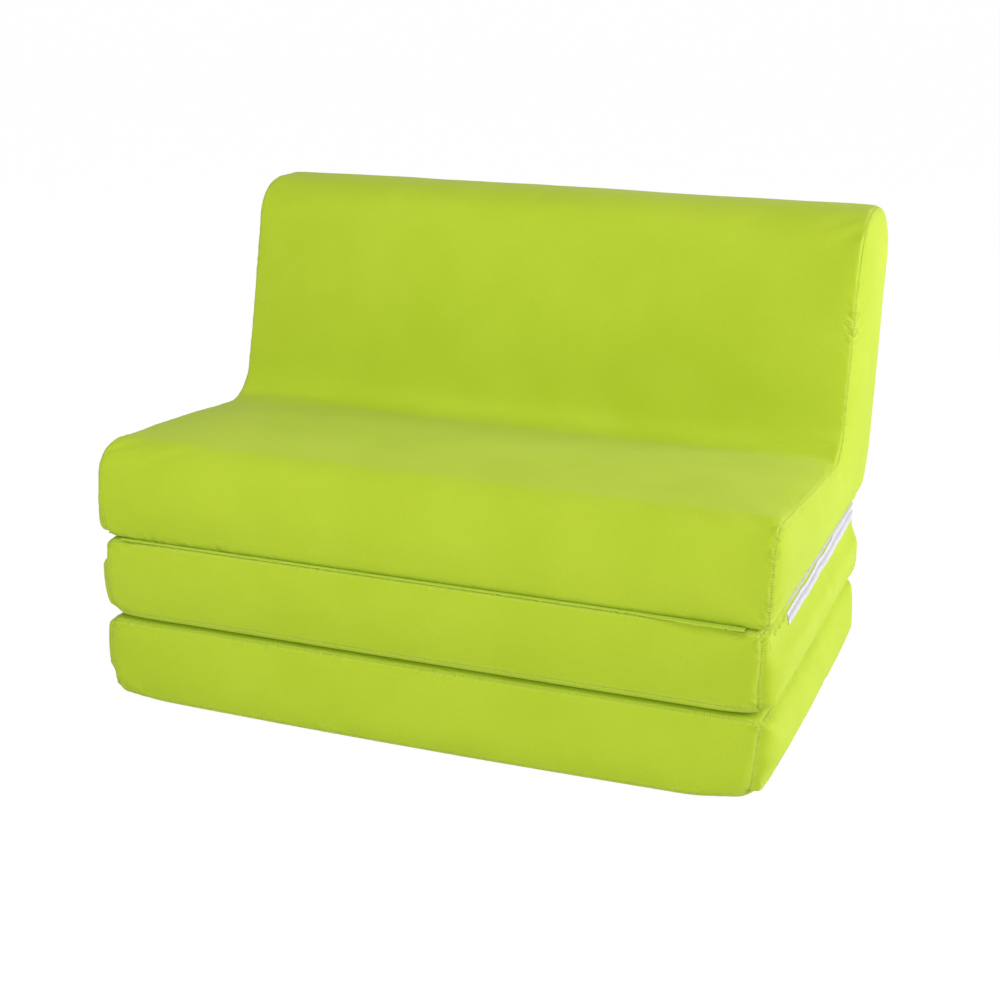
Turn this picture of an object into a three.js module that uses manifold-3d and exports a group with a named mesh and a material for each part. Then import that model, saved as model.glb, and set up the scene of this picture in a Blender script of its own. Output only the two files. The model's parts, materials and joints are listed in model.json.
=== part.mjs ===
// A fold-out foam sofa bed: a seat-and-back cushion on two mattress cushions that fold under it in a Z.
// Millimetres, +Z up. X runs across the sofa, and Y runs from its front to its rear.
import * as THREE from 'three';
import Module from 'manifold-3d';
import { mergeVertices } from 'three/addons/utils/BufferGeometryUtils.js';

const wasm = await Module();
wasm.setup();

// Driving sizes
const seatUnitWidth = 1200;
const mattressInset = 7;
const mattressDepth = 730;
const mattressHeight = 150;
const seatFrontHeight = 166;
const seatFrontLean = 22;
const creaseHeight = 126;
const creaseDepth = 548;
const backHeight = 554;
const backLean = 94;
const backThickness = 248;
const rearLowHeight = 70;
const rearLowDepth = 790;
const baseDepth = 738;

// Covers: the cloth is quilted to thin wadding, so a panel has a body of its own
const coverThickness = 4;
const seamGap = 0.3;
const endEdgeRadius = 12;
const frontEdgeRadius = 22;
const rearEdgeRadius = 12;
const seatFrontRadius = 55;
const creaseRadius = 60;
const backTopRadius = 98;
const rearLowRadius = 60;
const baseEdgeRadius = 15;
const mattressCrown = 6;
const seatCrown = 8;
const crownMarginWidth = 23;
const crownRunWidth = 130;

// Shares of a straight stretch, and of the crown's full height at them
const crownStretchShares = [0.18, 0.34, 0.5, 0.66, 0.82];
const crownHeightShares = [0, 0.75, 1, 0.75, 0];
const crownRingShares = [0.45, 1];
const mattressEndCrownRun = 34;
const seatEndMargin = 8;
const seatEndCrownRun = 30;

// Zips
const zipTapeWidth = 7;
const zipTapeThickness = 0.8;
const zipCoilWidth = 6;
const zipCoilThickness = 1.8;
const zipFrontSetback = 105;
const seatZipInset = 4.5;
const seatZipTurnRadius = 34;
const sliderLength = 12;
const sliderPlate = 1.2;
const sliderFlange = 1.7;
const sliderParking = 8;
const bailWidth = 2;
const bailThickness = 1;
const bailWindow = 2.1;
const bailReach = 4;
const pullLength = 24;
const pullWidth = 7;
const pullThickness = 1.2;
const pullBarWidth = 1.4;
const pullSlotClearance = 0.5;
const endTabThickness = 3;
const endTabFrontMargin = 8;

// Cloth hinges
const hingeClothThickness = 1.5;
const hingeEndMargin = 32;

// Counts of the steps that round edges are drawn with, in even numbers so that a seam can lie at the middle
const edgeSteps = 4;
const backTopSteps = 6;
const rearLowSteps = 2;
const zipTurnSteps = 6;
const pullEndSteps = 6;
const quarterTurn = Math.PI / 2;
const edgeAngles = [0, 1, 2].map((step) => (quarterTurn * step) / edgeSteps);
const sharpestCornerShare = 1 / 6;

// Levels of the stack, with the thin gap between the cushions
const middleFloor = mattressHeight + seamGap;
const seatFloor = middleFloor + mattressHeight + seamGap;
const seatHalf = seatUnitWidth / 2;
const mattressHalf = seatHalf - mattressInset;

// Finishes
const cloth = { color: 0xbad43a, roughness: 0.85, metalness: 0 };
const foam = { color: 0xf1ead0, roughness: 0.95, metalness: 0 };
const zipTape = { color: 0xeceaf0, roughness: 0.8, metalness: 0 };
const zipCoil = { color: 0xd2d0d4, roughness: 0.45, metalness: 0 };
const zipMetal = { color: 0xb9babd, roughness: 0.3, metalness: 1 };

const sofa = new THREE.Group();

// Adds one named piece with a finish of its own.
function addPiece(name, geometry, finish) {
  const mesh = new THREE.Mesh(geometry, new THREE.MeshStandardMaterial(finish));
  mesh.name = name;
  sofa.add(mesh);
}

// Makes a closed geometry of points and triangles, and turns it right side out.
function closedSolid(points, triangles) {
  let volume = 0;
  for (const [a, b, c] of triangles) {
    volume += points[a].dot(new THREE.Vector3().crossVectors(points[b], points[c]));
  }
  const ordered = volume < 0 ? triangles.map(([a, b, c]) => [a, c, b]) : triangles;
  const geometry = new THREE.BufferGeometry().setFromPoints(points);
  geometry.setIndex(ordered.flat());
  return geometry;
}

// Moves the point a towards the point b by a length.
function pulled(a, b, length) {
  return a.clone().add(b.clone().sub(a).setLength(length));
}

// Draws a grid's four borders in by half a seam gap, so that two panels never touch.
function trimmed(grid) {
  const half = seamGap / 2;
  const last = grid.length - 1;
  const rows = grid.map((row) => row.slice());
  rows[0] = rows[0].map((point, i) => pulled(point, grid[1][i], half));
  rows[last] = rows[last].map((point, i) => pulled(point, grid[last - 1][i], half));
  return rows.map((row) => {
    const end = row.length - 1;
    const drawn = row.slice();
    drawn[0] = pulled(row[0], row[1], half);
    drawn[end] = pulled(row[end], row[end - 1], half);
    return drawn;
  });
}

// Makes a panel of two matching grids of points, its outer and its inner face.
function slab(outer, inner) {
  const rowCount = outer.length;
  const columnCount = outer[0].length;
  const points = [...outer.flat(), ...inner.flat()];
  const triangles = [];
  const at = (face, row, column) => (face * rowCount + row) * columnCount + column;
  const quad = (a, b, c, d) => triangles.push([a, b, c], [a, c, d]);
  for (let r = 0; r + 1 < rowCount; r++) {
    for (let c = 0; c + 1 < columnCount; c++) {
      quad(at(0, r, c), at(0, r + 1, c), at(0, r + 1, c + 1), at(0, r, c + 1));
      quad(at(1, r, c), at(1, r, c + 1), at(1, r + 1, c + 1), at(1, r + 1, c));
    }
  }
  for (let r = 0; r + 1 < rowCount; r++) {
    const end = columnCount - 1;
    quad(at(0, r, 0), at(1, r, 0), at(1, r + 1, 0), at(0, r + 1, 0));
    quad(at(0, r, end), at(0, r + 1, end), at(1, r + 1, end), at(1, r, end));
  }
  for (let c = 0; c + 1 < columnCount; c++) {
    const end = rowCount - 1;
    quad(at(0, 0, c), at(0, 0, c + 1), at(1, 0, c + 1), at(1, 0, c));
    quad(at(0, end, c), at(1, end, c), at(1, end, c + 1), at(0, end, c + 1));
  }
  return closedSolid(points, triangles);
}

// Makes a solid through rings of as many points each, closed by a flat cap at both ends.
function loft(rings) {
  const count = rings[0].length;
  const points = rings.flat();
  const triangles = [];
  for (let r = 0; r + 1 < rings.length; r++) {
    for (let i = 0; i < count; i++) {
      const next = (i + 1) % count;
      const a = r * count + i;
      const b = r * count + next;
      triangles.push([a, b, b + count], [a, b + count, a + count]);
    }
  }
  const flattened = (loop) => loop.map((point) => new THREE.Vector2(point.y, point.z));
  const capTriangles = (loop) => THREE.ShapeUtils.triangulateShape(flattened(loop), []);
  const lastRing = (rings.length - 1) * count;
  triangles.push(...capTriangles(rings[0]));
  for (const [a, b, c] of capTriangles(rings[rings.length - 1])) {
    triangles.push([lastRing + a, lastRing + c, lastRing + b]);
  }
  return closedSolid(points, triangles);
}

// Walks once round a cushion's side outline, drawn in by an inset. Each corner { y, z, radius, steps } is a
// fillet, and the stretch after a crowned corner has extra points. Every inset gives as many points.
function walkOutline(corners, inset) {
  const count = corners.length;
  const lines = corners.map((corner, i) => {
    const next = corners[(i + 1) % count];
    const along = new THREE.Vector2(next.y - corner.y, next.z - corner.z).normalize();
    const outward = new THREE.Vector2(-along.y, along.x);
    const start = new THREE.Vector2(corner.y, corner.z).addScaledVector(outward, -inset);
    return { along, outward, start };
  });
  const fillets = corners.map((corner, i) => fillet(lines[(i + count - 1) % count], lines[i], corner, inset));
  const walk = [];
  const starts = [];
  fillets.forEach((arc, i) => {
    starts.push(walk.length);
    walk.push(...arc);
    if (!corners[i].crowned) return;
    const from = arc[arc.length - 1].place;
    const to = fillets[(i + 1) % count][0].place;
    const { outward } = lines[i];
    crownStretchShares.forEach((share, k) => {
      walk.push({ place: from.clone().lerp(to, share), outward, crown: crownHeightShares[k] });
    });
  });
  return { walk, starts };
}

// Rounds the corner between two lines of the outline. With the inset, a hollow corner grows and a full one shrinks.
function fillet(before, after, corner, inset) {
  const bend = before.along.x * after.along.y - before.along.y * after.along.x;
  const hollow = bend > 0;
  const span = after.start.clone().sub(before.start);
  const reach = (span.x * after.along.y - span.y * after.along.x) / bend;
  const tip = before.start.clone().addScaledVector(before.along, reach);
  const side = hollow ? 1 : -1;
  const radius = Math.max(corner.radius + side * inset, corner.radius * sharpestCornerShare);
  const turn = Math.acos(THREE.MathUtils.clamp(before.along.dot(after.along), -1, 1));
  const setback = radius * Math.tan(turn / 2);
  const start = tip.clone().addScaledVector(before.along, -setback);
  const centre = start.clone().addScaledVector(before.outward, side * radius);
  const arc = [];
  for (let k = 0; k <= corner.steps; k++) {
    const outward = before.outward.clone().rotateAround(new THREE.Vector2(), (side * turn * k) / corner.steps);
    arc.push({ place: centre.clone().addScaledVector(outward, -side * radius), outward, crown: 0 });
  }
  return arc;
}

// Lists the lines across a cushion where its long panels have points: round at the ends, crowned between them.
function crossLines(half, radius, depth, crowned) {
  const reach = radius - depth;
  const flat = half - radius;
  const rounded = edgeAngles.map((angle) => ({
    x: flat + reach * Math.sin(angle),
    inset: radius - reach * Math.cos(angle),
    crown: 0,
  }));
  const margin = { x: flat - crownMarginWidth, inset: depth, crown: 0 };
  const full = { x: flat - crownMarginWidth - crownRunWidth, inset: depth, crown: 1 };
  const right = crowned ? [full, margin, ...rounded] : rounded;
  const left = right.map((line) => ({ ...line, x: -line.x })).reverse();
  return [...left, ...right];
}

// Makes the panel of a cover that runs round the outline between two stops of the walk.
function wrapPanel(cushion, from, to, crowned) {
  const face = (depth, crown) => {
    const lines = crossLines(cushion.half, endEdgeRadius, depth, crowned);
    const columns = lines.map((line) => {
      const { walk } = walkOutline(cushion.corners, line.inset);
      const stops = [...Array(to - from + 1).keys()].map((k) => walk[(from + k) % walk.length]);
      return stops.map((stop) => {
        const lift = crown * line.crown * stop.crown;
        const place = stop.place.clone().addScaledVector(stop.outward, lift);
        return new THREE.Vector3(line.x, place.x, place.y);
      });
    });
    return trimmed(columns);
  };
  return slab(face(0, crowned ? cushion.crown : 0), face(coverThickness, 0));
}

// One closed ring of a cushion's outline at a place across it.
function ring(cushion, x, inset) {
  return walkOutline(cushion.corners, inset).walk.map(({ place }) => new THREE.Vector3(x, place.x, place.y));
}

// Rings round an end edge, from the flat of the end face out to the seam with the long panels.
function edgeRings(cushion, side, depth, angles) {
  const reach = endEdgeRadius - depth;
  const flat = cushion.half - endEdgeRadius;
  return angles.map((angle) =>
    ring(cushion, side * (flat + reach * Math.cos(angle)), endEdgeRadius - reach * Math.sin(angle)));
}

// The end panel of a cover: flat inside, round to its seam, and crowned outside.
function endPanel(cushion, side) {
  const inner = edgeRings(cushion, side, coverThickness, edgeAngles);
  const outer = edgeRings(cushion, side, 0, edgeAngles).reverse();
  const drawIn = (a, b) => a.map((point, i) => pulled(point, b[i], seamGap / 2));
  inner[inner.length - 1] = drawIn(inner[inner.length - 1], inner[inner.length - 2]);
  outer[0] = drawIn(outer[0], outer[1]);
  const margin = endEdgeRadius + cushion.endMargin;
  const crownRings = [ring(cushion, side * cushion.half, margin)];
  for (const share of crownRingShares) {
    const out = cushion.half + cushion.crown * share;
    crownRings.push(ring(cushion, side * out, margin + cushion.endRun * share));
  }
  return loft([...inner, ...outer, ...crownRings]);
}

// The foam inside a cover, round where the cover is round.
function foamBlock(cushion) {
  const depth = coverThickness + seamGap;
  const angles = [0, 1, 2, 3, 4].map((step) => (quarterTurn * step) / edgeSteps);
  const left = edgeRings(cushion, -1, depth, angles);
  const right = edgeRings(cushion, 1, depth, angles).reverse();
  return loft([...left, ...right]);
}

// Turns a geometry into a solid that can be cut or joined.
function toSolid(geometry) {
  const bare = geometry.clone();
  bare.deleteAttribute('normal');
  bare.deleteAttribute('uv');
  const merged = mergeVertices(bare);
  return new wasm.Manifold(new wasm.Mesh({
    numProp: 3,
    vertProperties: new Float32Array(merged.attributes.position.array),
    triVerts: new Uint32Array(merged.index.array),
  }));
}

// Turns a solid back into a geometry.
function toGeometry(solid) {
  const mesh = solid.getMesh();
  const geometry = new THREE.BufferGeometry();
  geometry.setAttribute('position', new THREE.BufferAttribute(new Float32Array(mesh.vertProperties), 3));
  geometry.setIndex([...mesh.triVerts]);
  return geometry;
}

// Keeps the part of a geometry whose y lies between two limits.
function keepBetween(geometry, low, high) {
  const reach = seatUnitWidth + backHeight;
  const knife = block(new THREE.Vector3(-reach, low, -reach), new THREE.Vector3(reach, high, reach));
  return toGeometry(toSolid(geometry).intersect(toSolid(knife)));
}

// Sweeps an upright rectangle along a plan path of { x, y, outward }: from near to far along the outward
// direction, and from low to high in z.
function band(path, near, far, low, high) {
  const line = (offset, z) => path.map(({ x, y, outward }) =>
    new THREE.Vector3(x + outward.x * offset, y + outward.y * offset, z));
  return slab([line(far, low), line(far, high)], [line(near, low), line(near, high)]);
}

// The plan path of a zip: along the right side, round the rear and back along the left side.
function zipPath(half, rear, radius, turnSteps) {
  const path = [{ x: half, y: zipFrontSetback, outward: new THREE.Vector2(1, 0) }];
  for (const [side, start] of [[1, 0], [-1, quarterTurn]]) {
    for (let k = 0; k <= turnSteps; k++) {
      const angle = start + (quarterTurn * k) / turnSteps;
      const outward = new THREE.Vector2(Math.cos(angle), Math.sin(angle));
      path.push({
        x: side * (half - radius) + radius * outward.x,
        y: rear - radius + radius * outward.y,
        outward,
      });
    }
  }
  path.push({ x: -half, y: zipFrontSetback, outward: new THREE.Vector2(-1, 0) });
  return path;
}

// A block given by its lowest and highest corners.
function block(low, high) {
  const size = high.clone().sub(low);
  const middle = high.clone().add(low).multiplyScalar(1 / 2);
  return new THREE.BoxGeometry(size.x, size.y, size.z).translate(middle.x, middle.y, middle.z);
}

// Sizes of a zip slider, measured across the coil and out from the surface that the zip lies on.
const slider = {
  coilSide: zipCoilWidth / 2 + seamGap,
  flangeSide: zipCoilWidth / 2 + seamGap + sliderFlange,
  flangeFoot: zipTapeThickness + 2 * seamGap,
  plateFoot: zipCoilThickness + 2 * seamGap,
  plateTop: zipCoilThickness + 2 * seamGap + sliderPlate,
};

// The slider's body straddles the coil: a plate over it and a flange on each side. It is drawn with X across the
// zip, Y out from its surface and Z along it.
function sliderBody() {
  const { coilSide, flangeSide, flangeFoot, plateFoot, plateTop } = slider;
  const section = new THREE.Shape([
    [-flangeSide, flangeFoot],
    [-coilSide, flangeFoot],
    [-coilSide, plateFoot],
    [coilSide, plateFoot],
    [coilSide, flangeFoot],
    [flangeSide, flangeFoot],
    [flangeSide, plateTop],
    [-flangeSide, plateTop],
  ].map(([across, out]) => new THREE.Vector2(across, out)));
  const body = new THREE.ExtrudeGeometry(section, { depth: sliderLength, bevelEnabled: false });
  return body.translate(0, 0, -sliderLength / 2);
}

// The bail is a low arch along the travel, sunk a little into the slider's plate that it is cast with.
function sliderBail() {
  const foot = slider.plateTop - sliderPlate / 2;
  const top = slider.plateTop + bailWindow;
  const inside = bailReach - bailThickness;
  const arch = new THREE.Shape([
    [-bailReach, foot],
    [-inside, foot],
    [-inside, top],
    [inside, top],
    [inside, foot],
    [bailReach, foot],
    [bailReach, top + bailThickness],
    [-bailReach, top + bailThickness],
  ].map(([along, out]) => new THREE.Vector2(along, out)));
  const geometry = new THREE.ExtrudeGeometry(arch, { depth: bailWidth, bevelEnabled: false });
  return geometry.translate(0, 0, -bailWidth / 2).rotateY(-quarterTurn);
}

// The pull tab is a plate with a slot. The bar at the slot's end lies under the bail and turns there.
function pullTab() {
  const halfBar = pullBarWidth / 2;
  const halfWidth = pullWidth / 2;
  const slotSide = bailWidth / 2 + pullSlotClearance;
  const slotEnd = bailReach + 2 * pullSlotClearance;
  const plate = new THREE.Shape();
  plate.moveTo(-halfWidth, -halfBar);
  plate.lineTo(halfWidth, -halfBar);
  plate.lineTo(halfWidth, pullLength - halfWidth);
  plate.absarc(0, pullLength - halfWidth, halfWidth, 0, Math.PI, false);
  plate.closePath();
  plate.holes.push(new THREE.Path([
    new THREE.Vector2(-slotSide, halfBar),
    new THREE.Vector2(-slotSide, slotEnd),
    new THREE.Vector2(slotSide, slotEnd),
    new THREE.Vector2(slotSide, halfBar),
  ]));
  const options = { depth: pullThickness, bevelEnabled: false, curveSegments: pullEndSteps };
  const geometry = new THREE.ExtrudeGeometry(plate, options);
  geometry.translate(0, 0, slider.plateTop + bailWindow / 2 - pullThickness / 2);
  return geometry.rotateX(-quarterTurn);
}

// Turns a part of a zip, drawn with X across, Y out and Z along, on to the left side of a mattress.
function ontoLeftSide(geometry, y, z) {
  const axes = new THREE.Matrix4().makeBasis(
    new THREE.Vector3(0, 0, 1), new THREE.Vector3(-1, 0, 0), new THREE.Vector3(0, -1, 0));
  return geometry.applyMatrix4(axes).translate(-mattressHalf, y, z);
}

// The side outline of a mattress cushion that stands on a level.
function mattressCushion(floor) {
  const top = floor + mattressHeight;
  return {
    half: mattressHalf,
    crown: mattressCrown,
    endMargin: crownMarginWidth,
    endRun: mattressEndCrownRun,
    corners: [
      { y: 0, z: floor, radius: frontEdgeRadius, steps: edgeSteps, crowned: true },
      { y: 0, z: top, radius: frontEdgeRadius, steps: edgeSteps },
      { y: mattressDepth, z: top, radius: rearEdgeRadius, steps: edgeSteps, crowned: true },
      { y: mattressDepth, z: floor, radius: rearEdgeRadius, steps: edgeSteps },
    ],
  };
}

const seatCushion = {
  half: seatHalf,
  crown: seatCrown,
  endMargin: seatEndMargin,
  endRun: seatEndCrownRun,
  corners: [
    { y: 0, z: seatFloor, radius: baseEdgeRadius, steps: edgeSteps, crowned: true },
    {
      y: seatFrontLean,
      z: seatFloor + seatFrontHeight,
      radius: seatFrontRadius,
      steps: edgeSteps,
      crowned: true,
    },
    { y: creaseDepth, z: seatFloor + creaseHeight, radius: creaseRadius, steps: edgeSteps, crowned: true },
    { y: creaseDepth + backLean, z: seatFloor + backHeight, radius: backTopRadius, steps: backTopSteps },
    {
      y: creaseDepth + backLean + backThickness,
      z: seatFloor + backHeight,
      radius: backTopRadius,
      steps: backTopSteps,
      crowned: true,
    },
    { y: rearLowDepth, z: seatFloor + rearLowHeight, radius: rearLowRadius, steps: rearLowSteps },
    { y: baseDepth, z: seatFloor, radius: baseEdgeRadius, steps: edgeSteps },
  ],
};

// The three strips of a zip, side by side from its near edge: tape, coil and tape.
const zipStrips = [
  { name: 'outer_tape', from: 0, width: zipTapeWidth, thickness: zipTapeThickness, finish: zipTape },
  {
    name: 'coil',
    from: zipTapeWidth + seamGap,
    width: zipCoilWidth,
    thickness: zipCoilThickness,
    finish: zipCoil,
  },
  {
    name: 'inner_tape',
    from: zipTapeWidth + zipCoilWidth + 2 * seamGap,
    width: zipTapeWidth,
    thickness: zipTapeThickness,
    finish: zipTape,
  },
];
const zipBandWidth = 2 * zipTapeWidth + zipCoilWidth + 2 * seamGap;
const zipCoilMiddle = zipTapeWidth + seamGap + zipCoilWidth / 2;
const zipParkY = zipFrontSetback + sliderParking + sliderLength / 2;

// The zip of a mattress runs round three of its sides, along the edge that lies on the floor in the bed. The edge
// is at a level, and the zip's strips follow it at steps in one direction, up or down.
function addMattressZip(name, edgeLevel, direction) {
  const path = zipPath(mattressHalf, mattressDepth, endEdgeRadius, edgeSteps);
  const level = (distance) => edgeLevel + direction * (endEdgeRadius + seamGap + distance);
  for (const strip of zipStrips) {
    const [low, high] = [level(strip.from), level(strip.from + strip.width)].sort((a, b) => a - b);
    const far = seamGap + strip.thickness;
    addPiece(`${name}_zip_${strip.name}`, band(path, seamGap, far, low, high), strip.finish);
  }
  const [low, high] = [level(0), level(zipBandWidth)].sort((a, b) => a - b);
  for (const [side, word] of [[1, 'right'], [-1, 'left']]) {
    const near = side * (mattressHalf + seamGap);
    const far = side * (mattressHalf + seamGap + endTabThickness);
    const tab = block(
      new THREE.Vector3(Math.min(near, far), endEdgeRadius + endTabFrontMargin, low),
      new THREE.Vector3(Math.max(near, far), zipFrontSetback - seamGap, high));
    addPiece(`${name}_zip_end_tab_${word}`, tab, cloth);
  }
  const whole = toGeometry(toSolid(sliderBody()).add(toSolid(sliderBail())));
  addPiece(`${name}_zip_slider`, ontoLeftSide(whole, zipParkY, level(zipCoilMiddle)), zipMetal);
  addPiece(`${name}_zip_pull`, ontoLeftSide(pullTab(), zipParkY, level(zipCoilMiddle)), zipMetal);
}

// A mattress cushion: foam, six sewn panels and a zip.
function addMattress(name, floor, zipEdge, zipDirection) {
  const cushion = mattressCushion(floor);
  const { walk, starts } = walkOutline(cushion.corners, 0);
  const seams = starts.map((start, i) => start + cushion.corners[i].steps / 2);
  addPiece(`${name}_foam`, foamBlock(cushion), foam);
  addPiece(`${name}_cover_front`, wrapPanel(cushion, seams[0], seams[1], true), cloth);
  addPiece(`${name}_cover_top`, wrapPanel(cushion, seams[1], seams[2], false), cloth);
  addPiece(`${name}_cover_rear`, wrapPanel(cushion, seams[2], seams[3], true), cloth);
  addPiece(`${name}_cover_bottom`, wrapPanel(cushion, seams[3], seams[0] + walk.length, false), cloth);
  addPiece(`${name}_cover_right`, endPanel(cushion, 1), cloth);
  addPiece(`${name}_cover_left`, endPanel(cushion, -1), cloth);
  addMattressZip(name, zipEdge, zipDirection);
}

// The places where the seat unit's wrap panel turns on to the flat base, at the front and at the rear. Corners are
// counted from the front of the base.
const seatWalk = walkOutline(seatCushion.corners, 0);
const creaseCorner = seatCushion.corners.findIndex((corner) => corner.y === creaseDepth);
const lastCorner = seatCushion.corners.length - 1;
const seatWrapEnd = seatWalk.starts[lastCorner] + seatCushion.corners[lastCorner].steps;
const seatBaseFront = seatWalk.walk[0].place.x;
const seatBaseRear = seatWalk.walk[seatWrapEnd].place.x;
const seatZipTop = seatFloor + coverThickness;

// The seat unit's base panel lies inside its zip, with rounded rear corners to match the zip's turn.
function seatBasePanel() {
  const inset = seatZipInset + zipBandWidth + seamGap;
  const half = seatHalf - inset;
  const front = seatBaseFront + seamGap;
  const rear = seatBaseRear - seatZipInset - zipBandWidth - seamGap;
  const radius = seatZipTurnRadius - zipBandWidth - seamGap;
  const plan = new THREE.Shape();
  plan.moveTo(-half, front);
  plan.lineTo(half, front);
  plan.lineTo(half, rear - radius);
  plan.absarc(half - radius, rear - radius, radius, 0, quarterTurn, false);
  plan.lineTo(radius - half, rear);
  plan.absarc(radius - half, rear - radius, radius, quarterTurn, Math.PI, false);
  plan.closePath();
  const options = { depth: coverThickness, bevelEnabled: false, curveSegments: edgeSteps };
  return new THREE.ExtrudeGeometry(plan, options).translate(0, 0, seatFloor);
}

// The seat unit's zip lies flat in the base, round its right, rear and left edges. Its slider has no pull tab,
// because one would press into the mattress.
function addSeatZip() {
  const path = zipPath(seatHalf - seatZipInset, seatBaseRear - seatZipInset, seatZipTurnRadius, zipTurnSteps);
  for (const strip of zipStrips) {
    const low = seatZipTop - strip.thickness;
    const strap = band(path, -strip.from - strip.width, -strip.from, low, seatZipTop);
    addPiece(`seat_zip_${strip.name}`, strap, strip.finish);
  }
  const outer = seatHalf - seatZipInset;
  for (const [side, word] of [[1, 'right'], [-1, 'left']]) {
    const near = side * outer;
    const far = side * (outer - zipBandWidth);
    const tab = block(
      new THREE.Vector3(Math.min(near, far), seatBaseFront + seamGap, seatZipTop - endTabThickness),
      new THREE.Vector3(Math.max(near, far), zipFrontSetback - seamGap, seatZipTop));
    addPiece(`seat_zip_end_tab_${word}`, tab, cloth);
  }
  const body = sliderBody().rotateX(-quarterTurn);
  addPiece('seat_zip_slider', body.translate(zipCoilMiddle - outer, zipParkY, seatZipTop + seamGap), zipMetal);
}

// The seat unit: two glued foam blocks, a wrap panel, two ends, a base and a zip.
function addSeatUnit() {
  const core = foamBlock(seatCushion);
  const glueLine = seatWalk.walk[seatWalk.starts[creaseCorner]].place.x;
  addPiece('seat_foam', keepBetween(core, -seatUnitWidth, glueLine - seamGap / 2), foam);
  addPiece('back_foam', keepBetween(core, glueLine + seamGap / 2, seatUnitWidth), foam);
  addPiece('seat_cover_wrap', wrapPanel(seatCushion, 0, seatWrapEnd, true), cloth);
  addPiece('seat_cover_right_end', endPanel(seatCushion, 1), cloth);
  addPiece('seat_cover_left_end', endPanel(seatCushion, -1), cloth);
  addPiece('seat_cover_base', seatBasePanel(), cloth);
  addSeatZip();
}

// How far a leaf of a cloth hinge reaches from a cushion's flat face into the notch beside a rounded edge: as far
// as the edge's curve leaves room for the cloth.
function notchRoom(radius) {
  const room = radius - hingeClothThickness - seamGap;
  return Math.sqrt(radius * radius - room * room);
}

// A cloth hinge is one strip folded in two. Each leaf lies against the other at a level, from its seam to the fold.
function addHinge(name, level, foldY, upperSeamY, lowerSeamY) {
  const half = mattressHalf - hingeEndMargin;
  const fold = foldY + Math.sign(upperSeamY - foldY) * (seamGap / 2);
  const leaves = [
    ['upper', upperSeamY, level + seamGap / 2, level + seamGap / 2 + hingeClothThickness],
    ['lower', lowerSeamY, level - seamGap / 2 - hingeClothThickness, level - seamGap / 2],
  ];
  for (const [word, seam, low, high] of leaves) {
    const leaf = block(
      new THREE.Vector3(-half, Math.min(fold, seam), low),
      new THREE.Vector3(half, Math.max(fold, seam), high));
    addPiece(`${name}_hinge_${word}_leaf`, leaf, cloth);
  }
}

addMattress('bottom', 0, 0, 1);
addMattress('middle', middleFloor, middleFloor + mattressHeight, -1);
addSeatUnit();

const foldOverhang = mattressCrown + seamGap / 2;
addHinge(
  'front', seatFloor - seamGap / 2, -foldOverhang,
  seatBaseFront - notchRoom(baseEdgeRadius), frontEdgeRadius - notchRoom(frontEdgeRadius));
const rearSeam = mattressDepth - rearEdgeRadius + notchRoom(rearEdgeRadius);
addHinge('rear', middleFloor - seamGap / 2, mattressDepth + foldOverhang, rearSeam, rearSeam);

// The origin is under the middle of the sofa, on the floor.
const box = new THREE.Box3().setFromObject(sofa);
sofa.position.set(-(box.min.x + box.max.x) / 2, -(box.min.y + box.max.y) / 2, -box.min.z);

export default sofa;
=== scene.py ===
# %% [markdown]
# A fold-out sofa bed of cloth-covered foam. Three cushions lie in a stack: two flat mattress cushions, and
# on them a seat unit whose seat and backrest are one bent cushion. Cloth hinges join them, so that they
# unfold into a bed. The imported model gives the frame, and this script dresses it: cloth covers that are
# tight over their foam, gathered hinges, zips with their coils, and the light of a plain studio.

# %% The frame
import itertools
import json
import math

import bpy
import numpy as np
from mathutils import Euler, Matrix, Vector, noise
from mathutils.bvhtree import BVHTree
from mathutils.kdtree import KDTree

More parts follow.
